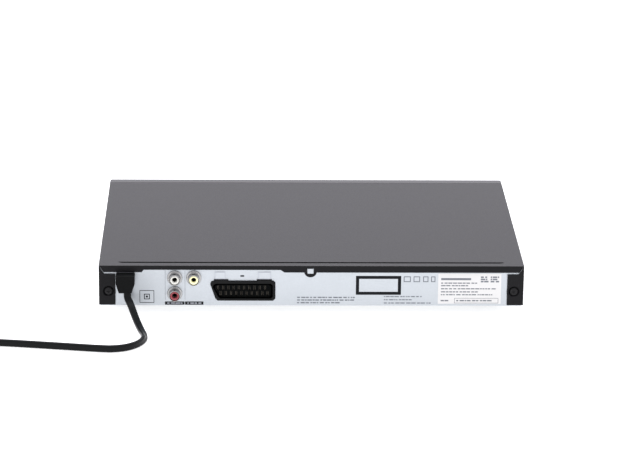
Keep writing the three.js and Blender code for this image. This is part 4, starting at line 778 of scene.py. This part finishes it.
# ---- Feet and screws ----
foot = turned("foot", [(0, 1.6), (3.1, 1.6)] + rounded([
    (3.1, 2.6, 0), (5.2, 2.6, 0.3), (5.8, 0.0, 0.5), (9.0, 0.0, 0.6), (10.0, 1.2, 0.6),
    (9.8, 6.7, 0.4), (3.1, 6.7, 0)], 4)[1:-1] + [(0, 6.7)], axis="z")
set_out("feet", foot, [(x, y, 0) for x in (-128, 128) for y in (-74, 67)], foot_rubber,
        "foot_rear_left", "foot_front_left", "foot_front_right", "foot_rear_left",
        "foot_rear_right")


def screw_heads(name, places, radius, height, reach, tilt, material, slot, *stood_for):
    """Screw heads, with cross recesses of one width and depth."""
    grown(name, SCREWS, places, {
        "Head radius": radius * MM, "Head height": height * MM, "Recess reach": reach * MM,
        "Recess width": 0.7 * MM, "Recess depth": 0.8 * MM, "Tilt": tilt, "Finish": material},
        slot, *stood_for)


screw_heads("cover_screws", [(x, 99.75, 18.2) for x in (-148, 148)], 3.0, 1.4, 1.3,
            -math.pi / 2, black_abs, "cover_screw_left", "cover_screw_left", "cover_screw_right")
# four screws each for the loader, the power board and the main board
pan_screws = [(x, y, 7.05) for xs, ys in (
    ((-132.9, 2.9), (-88.4, 52.2)), ((118, 144), (-46.9, 81.1)), ((24, 102), (9.8, 92.8)))
    for y in ys for x in xs]
screw_heads("pan_screws", pan_screws, 2.6, 1.5, 1.4, math.pi, plated_screw, "bottom_chassis")

# ---- Works inside: chip pins, small parts on the boards, screw thread, lens and turntable ----
CHIP, BOARD_TOP = (58, 52, 11.05), 10.9
CHIP_PIN = [(0, -14.2, 0), (0, -13.3, 0), (0, -12.9, 0.9), (0, -11.8, 0.9)]
chip_pins = grown("chip_pins", PINS, CHIP_PIN, {
    "Count": 22, "Pitch": 1.0 * MM, "Pin width": 0.4 * MM, "Pin thickness": 0.18 * MM,
    "Finish": steel_bright}, "decoder_chip", edges=[(0, 1), (1, 2), (2, 3)])
for vertex in chip_pins.data.vertices:
    vertex.co += spot(*CHIP)


def fill_board(board, kind, field, step, taken, keep, seeds, sides, height, material):
    """Small parts on a board's grid, clear of taken fields (x0, x1, y0, y1). keep is the share of
    free places used, and the seeds are those of places and of sizes."""
    draw = random.Random(seeds[0])
    x0, x1, y0, y1 = field
    places = []
    for i in range(int((x1 - x0) / step)):
        for j in range(int((y1 - y0) / step)):
            x, y = x0 + step * (i + 0.5), y0 + step * (j + 0.5)
            clear = all(not (a - step < x < b + step and c - step < y < d + step)
                        for a, b, c, d in taken)
            if clear and draw.random() < keep:
                places.append((x, y, BOARD_TOP))
    grown(board + kind, BOARD_PARTS, places, {
        "Seed": seeds[1], "Least": sides[0] * MM, "Most": sides[1] * MM, "Height": height * MM,
        "Finish": material}, board)


chip_field, ribbon_field = (42, 74, 36, 68), (18, 30, 20, 40)
fill_board("main_board", "_chips", (22, 104, 8, 84), 6.0, [chip_field, ribbon_field], 0.55,
           (7, 3), (0.9, 3.6), 1.0, epoxy)
fill_board("main_board", "_capacitors", (25, 107, 11, 87), 6.0,
           [chip_field, ribbon_field, (20, 28, 88, 96)], 0.5, (11, 5), (0.6, 1.5), 0.7, ceramic)
fill_board("power_board", "_parts", (115, 147, -40, 76), 8.0,
           [(116, 146, -3, 23), (115, 133, 53, 71)], 0.6, (13, 9), (1.6, 4.5), 4.2, sleeve)
grown("lead_screw_thread", THREAD, [(-29, -14, 19.6)], {
    "Radius": 1.38 * MM, "Turns": 26.0, "Length": 52 * MM, "Crest": 0.14 * MM,
    "Finish": brass}, "lead_screw")
LENS, TABLE_TOP = (-65, -16.5, 24.9), (-65, -39.5, 27.18)
dome = turned("lens_dome", [
    (0, 0), (3.1, 0), (3.1, 0.95), (2.95, 1.1), (2.4, 1.3), (1.8, 1.45), (1.2, 1.54),
    (0.6, 1.585), (0, 1.6)], "z", 48)
set_out("lens_dome", dome, [LENS], lens_glass, "objective_lens", "objective_lens")
rim = turned("lens_rim", [
    (3.05, 0), (4, 0), (4, 0.98), (3.88, 1.1), (3.2, 1.1), (3.05, 0.98)], "z", 48)
set_out("lens_rim", rim, [LENS], black_abs, "objective_lens")
pad = turned("turntable_pad", [
    (10.6, 0), (14, 0), (14, 0.25), (13.85, 0.4), (10.75, 0.4), (10.6, 0.25)], "z")
set_out("turntable_pad", pad, [TABLE_TOP], foot_rubber, "turntable")

# ---- Front: marks on the keys, the window's trim, the serial socket's tongue and the lamp ----
FRONT_FACE, KEY_FACE = -108.0, -108.9
MARK = 0.04  # the marks' thickness, by which the keys' faces stand back


def inlays(name, outlines, face, thick, material, slot):
    """Flat marks on a face that looks towards -Y, from outlines of (x, z) points."""
    points, faces = [], []
    for outline in outlines:
        faces += skin(len(outline), 2, len(points))
        points += [(x, y, z) for y in (face, face - thick) for x, z in outline]
    return seat(new_object(name, solid(name, points, faces), material), slot)


def square(x, z, half_wide, half_high):
    return [(x - half_wide, z - half_high), (x + half_wide, z - half_high),
            (x + half_wide, z + half_high), (x - half_wide, z + half_high)]


def ring_part(x, z, radius, line, start, end, steps=20):
    """A flat arc of a ring, in degrees."""
    turns = [math.radians(start + (end - start) * k / steps) for k in range(steps + 1)]
    inner = radius - line
    return ([(x + radius * math.cos(t), z + radius * math.sin(t)) for t in turns]
            + [(x + inner * math.cos(t), z + inner * math.sin(t)) for t in reversed(turns)])


marks = {
    "stop": [square(106, 25, 1.1, 1.1)],
    "play": [[(94.1, 23.8), (96.4, 25), (94.1, 26.2)]],
    "open": [[(82.6, 24.8), (85.4, 24.8), (84, 26.5)], square(84, 23.9, 1.4, 0.3)],
    "power": [ring_part(138, 25, 1.9, 0.4, 120, 420), square(138, 26.3, 0.2, 1.0)],
}
for sign, outlines in marks.items():
    key = sign + "_button"
    for vertex in shells[key].data.vertices:
        if vertex.co.y < (KEY_FACE + MARK / 2) * MM:
            vertex.co.y += MARK * MM
    inlays(sign + "_mark", outlines, KEY_FACE + MARK, MARK, ink_white, key)


def make_window_trim():
    """Four thin strips round the window."""
    x, z, half_wide, half_high = 44, 25, 29.4, 6.4
    line, thick = 0.35, 0.12
    wide, mid = half_wide + line, line / 2
    inlays("window_trim", [
        square(x, z + half_high + mid, wide, mid), square(x, z - half_high - mid, wide, mid),
        square(x - half_wide - mid, z, mid, half_high),
        square(x + half_wide + mid, z, mid, half_high)],
        FRONT_FACE, thick, nickel, "display_window")


def make_usb_inside():
    """The serial socket's plastic tongue, its front edge rounded, and its four contacts."""
    x, z, wide, high, front, back = 118.6, 25.0, 5.7, 1.05, -105.8, -94.7
    outline = rounded([(u, v, 0.35) for u, v in square(0, 0, wide, high)], 4)
    rings = ((front, 0.3), (front + 0.12, 0.1), (front + 0.35, 0.0), (back, 0.0))
    points = [(x + u * (1 - draw_in / wide), y, z + v * (1 - draw_in / high))
              for y, draw_in in rings for u, v in outline]
    mesh = solid("usb_tongue", points, skin(len(outline), len(rings)), 50)
    seat(new_object("usb_tongue", mesh, black_abs), "usb_socket")
    leaf = turned("usb_contact", [
        (0, 0), (0.38, 0), (0.45, 0.05), (0.45, 0.12), (0, 0.12)], "z", 16)
    for vertex in leaf.vertices:
        vertex.co.y *= 9.0
    places = [(x + aside, -101.0, 23.88) for aside in (-3.5, -1.0, 1.0, 3.5)]
    set_out("usb_contacts", leaf, places, brass, "usb_socket")


make_window_trim()
make_usb_inside()
lamp = turned("lamp", [
    (0, -0.35), (0.5, -0.3), (0.9, -0.12), (1.0, 0.0), (1.0, 0.4), (0, 0.4)], sides=32)
set_out("standby_lamp", lamp, [(149.2, FRONT_FACE, 25)], lamp_red, "front_panel")

# ---- Plug: a flat body that thins to its neck, with ribs, and round pins in half sleeves ----
PLUG = {"x": 307.3, "z": 6.85, "thin_from": 74.0, "last_rib": 91.5, "neck_end": 93.7,
        "neck_share": 0.62, "neck_wide": 11.3, "widens": 0.28, "thick": 13.9,
        "pins": (298, 316.6)}


def plug_share(y):
    """The plug's thickness at a place along it, as a share of its full thickness."""
    return 1 - (1 - PLUG["neck_share"]) * ease(
        (y - PLUG["thin_from"]) / (PLUG["neck_end"] - PLUG["thin_from"]))


def make_plug():
    """The plug's body, cut across at even steps and thinned towards its neck."""
    mesh = node_shape("plug_body")
    with editing(mesh) as body:
        for cut in range(8):
            bmesh.ops.bisect_plane(body, geom=body.verts[:] + body.edges[:] + body.faces[:],
                                   plane_co=spot(0, PLUG["thin_from"] + 2.5 * cut, 0),
                                   plane_no=(0, 1, 0))
        for vertex in body.verts:
            place = vertex.co / MM
            vertex.co.z = (PLUG["z"] + (place.z - PLUG["z"]) * plug_share(place.y)) * MM
    piece = new_object("plug_body_shell", mesh, soft_pvc)
    bevel(piece, 1.6, 4, 42)
    return seat(piece, "plug_body", "plug_body")


plug = make_plug()
ribs = [grown("plug_rib_%d" % k, RINGS, [(PLUG["x"], y, PLUG["z"])], {
    "Width": (PLUG["neck_wide"] + PLUG["widens"] * (PLUG["last_rib"] - y)) * MM,
    "Thickness": PLUG["thick"] * plug_share(y) * MM, "Corner": 2.0 * MM,
    "Rib radius": 0.45 * MM, "Finish": soft_pvc}, "plug_body")
    for k, y in enumerate((84.3, 86.7, 89.1, PLUG["last_rib"]))]
pin = turned("plug_pin", [(0, 0)] + rounded([
    (2.0, 0, 0), (2.0, 19.0, 1.1), (0, 19.0, 0)], 6)[:-1] + [(0, 19.0)], sides=40)
pins = set_out("plug_pins", pin, [(x, 38.4, PLUG["z"]) for x in PLUG["pins"]], nickel,
               "plug_pin_left", "plug_pin_left", "plug_pin_right")
cuff = turned("plug_cuff", rounded([
    (1.9, 0, 0), (2.0, 0, 0), (2.14, 0.3, 0.1), (2.14, 10.2, 0), (1.9, 10.2, 0)], 3), sides=40)
cuffs = set_out("plug_cuffs", cuff, [(x, 47.4, PLUG["z"]) for x in PLUG["pins"]], soft_pvc,
                "plug_body")


# ---- Printing on the rear panel: bars, rules and frames without words, and a bare label ----
def plates(name, rectangles, low, thick, material):
    """Thin rectangles (x0, x1, z0, z1) on a face that looks towards +Y."""
    points, faces = [], []
    for x0, x1, z0, z1 in rectangles:
        start = len(points)
        for y in (low, low + thick):
            points += [(x0, y, z0), (x1, y, z0), (x1, y, z1), (x0, y, z1)]
        for quad in ((0, 1, 2, 3), (4, 7, 6, 5), (0, 4, 5, 1), (1, 5, 6, 2), (2, 6, 7, 3),
                     (3, 7, 4, 0)):
            faces.append(tuple(start + k for k in quad))
    seat(new_object(name, solid(name, points, faces), material), "rear_panel")


def frame_of(x0, x1, z0, z1, line):
    """An empty frame of four bars as wide as its line."""
    return [(x0, x1, z0, z0 + line), (x0, x1, z1 - line, z1),
            (x0, x0 + line, z0 + line, z1 - line), (x1 - line, x1, z0 + line, z1 - line)]


def small_print(x0, lines, seed, height=1.0):
    """Short bars, as small print looks from afar. Each line (z, x1) runs from x0 down to x1 and
    draws its bars from a seed of its own."""
    bars = []
    for row, (z, x1) in enumerate(lines):
        draw, x = random.Random(seed + row), x0
        while x - 1 > x1:
            length = min(draw.uniform(0.9, 3.4), x - x1)
            bars.append((x - length, x, z - height / 2, z + height / 2))
            x -= length + draw.choice((0.45, 0.45, 1.0))
    return bars


INK, LABEL = 0.03, 0.1
black_print = [(92.75, 107.0, 7.5, 10.0), (78.9, 92.35, 7.5, 10.0), (49.2, 52.0, 29.2, 30.4)]
black_print += frame_of(-65.4, -32.35, 15.4, 30.05, 2.35)
plates("panel_black_print", black_print, PANEL_FACE, INK, ink_black)
box_print = frame_of(114.8, 125.5, 8.9, 18.6, 0.45) + frame_of(118.0, 122.3, 11.6, 15.9, 0.6)
box_print += [(119.4, 120.9, 13.0, 14.5)]
plates("panel_box_print", box_print, PANEL_FACE, INK, ink_black)
grey_print = [(106.62, 106.85, 11.4, 34.0), (92.22, 92.45, 11.4, 34.0)]
grey_print += small_print(10.5, [(13.3, -31.8), (11.25, -31.8), (9.2, -22.0)], 11)
grey_print += small_print(-53.0, [(14.05, -82.0), (11.6, -73.5), (9.05, -88.0)], 31, 0.85)
for x0, x1 in ((-72.4, -67.2), (-79.2, -74.4), (-85.3, -81.4), (-90.4, -87.2)):
    grey_print += frame_of(x0, x1, 25.3, 29.7, 0.65)
plates("panel_grey_print", grey_print, PANEL_FACE, INK, ink_grey)
bar_print = small_print(105.4, [(8.75, 94.2)], 71, 0.7)
bar_print += small_print(90.6, [(8.75, 80.4)], 72, 0.7)
plates("panel_bar_print", bar_print, PANEL_FACE + INK, INK, ink_pale)
pad_print = frame_of(62.9, 70.7, 27.4, 32.9, 0.45) + frame_of(29.7, 39.1, 27.4, 32.9, 0.45)
plates("panel_pad_print", pad_print, PANEL_FACE + 0.3, INK + 0.05, ink_pale)
plates("panel_label", [(-138.6, -92.5, 8.6, 32.0)], PANEL_FACE, LABEL, label_film)
label_print = [(-116.5, -94.6, 26.9, 28.5)]
label_print += frame_of(-136.8, -104.5, 9.0, 13.0, 0.3)
for row, z in enumerate((29.2, 27.5, 25.8)):
    label_print += small_print(-123.6, [(z, -129.4)], 61 + row, 1.2)
    label_print += small_print(-130.8, [(z, -137.0)], 66 + row, 1.2)
label_print += small_print(-94.6, [
    (24.6, -121.0), (22.6, -114.5), (20.2, -135.5), (17.8, -122.5), (15.6, -133.0)], 51, 0.85)
for x0, x1, seed in ((-94.6, -101.0, 58), (-106.0, -133.0, 59)):
    label_print += small_print(x0, [(11.0, x1)], seed)
plates("panel_label_print", label_print, PANEL_FACE + LABEL, INK, ink_grey)

# ---- The lead's pieces ----
seat(lead, "mains_cord", "mains_cord", "cord_coil", "cord_tail")

# ---- Floor and light ----
# Floor: frosted acrylic of a lit table, matt white, with a glow of its own
frosted = finish("frosted_floor", "cfcfcf", (0.8, 0.9), "cccccc", grain=3.0, glow=0.7)
floor = [(x, y, -0.2) for x, y in square(0, 0, 6000, 6000)]
new_object("floor", mesh_from("floor", floor, [(0, 1, 2, 3)]), frosted)


def make_light():
    """A pale room, brighter past the front, as over a lit sweep, and one large light above."""
    world = bpy.data.worlds.new("studio")
    world.use_nodes = True
    tree = world.node_tree
    room = tree.nodes["Background"]
    room.inputs["Color"].default_value = linear("f9f7ff")
    place = add(tree, "ShaderNodeTexCoord")
    way = add(tree, "ShaderNodeSeparateXYZ", {"Vector": place.outputs["Generated"]})
    glow = add(tree, "ShaderNodeMapRange", {
        "Value": way.outputs["Y"], "From Min": -1.0, "From Max": 1.0, "To Min": 2.18,
        "To Max": 1.23})
    tree.links.new(glow.outputs["Result"], room.inputs["Strength"])
    bpy.context.scene.world = world
    light = bpy.data.lights.new("overhead", "AREA")
    light.shape, light.size, light.energy = "DISK", 2.4, 22
    new_object("overhead", light).location = (0.2, -0.1, 2.2)


make_light()
bpy.context.scene.view_settings.view_transform = "Standard"
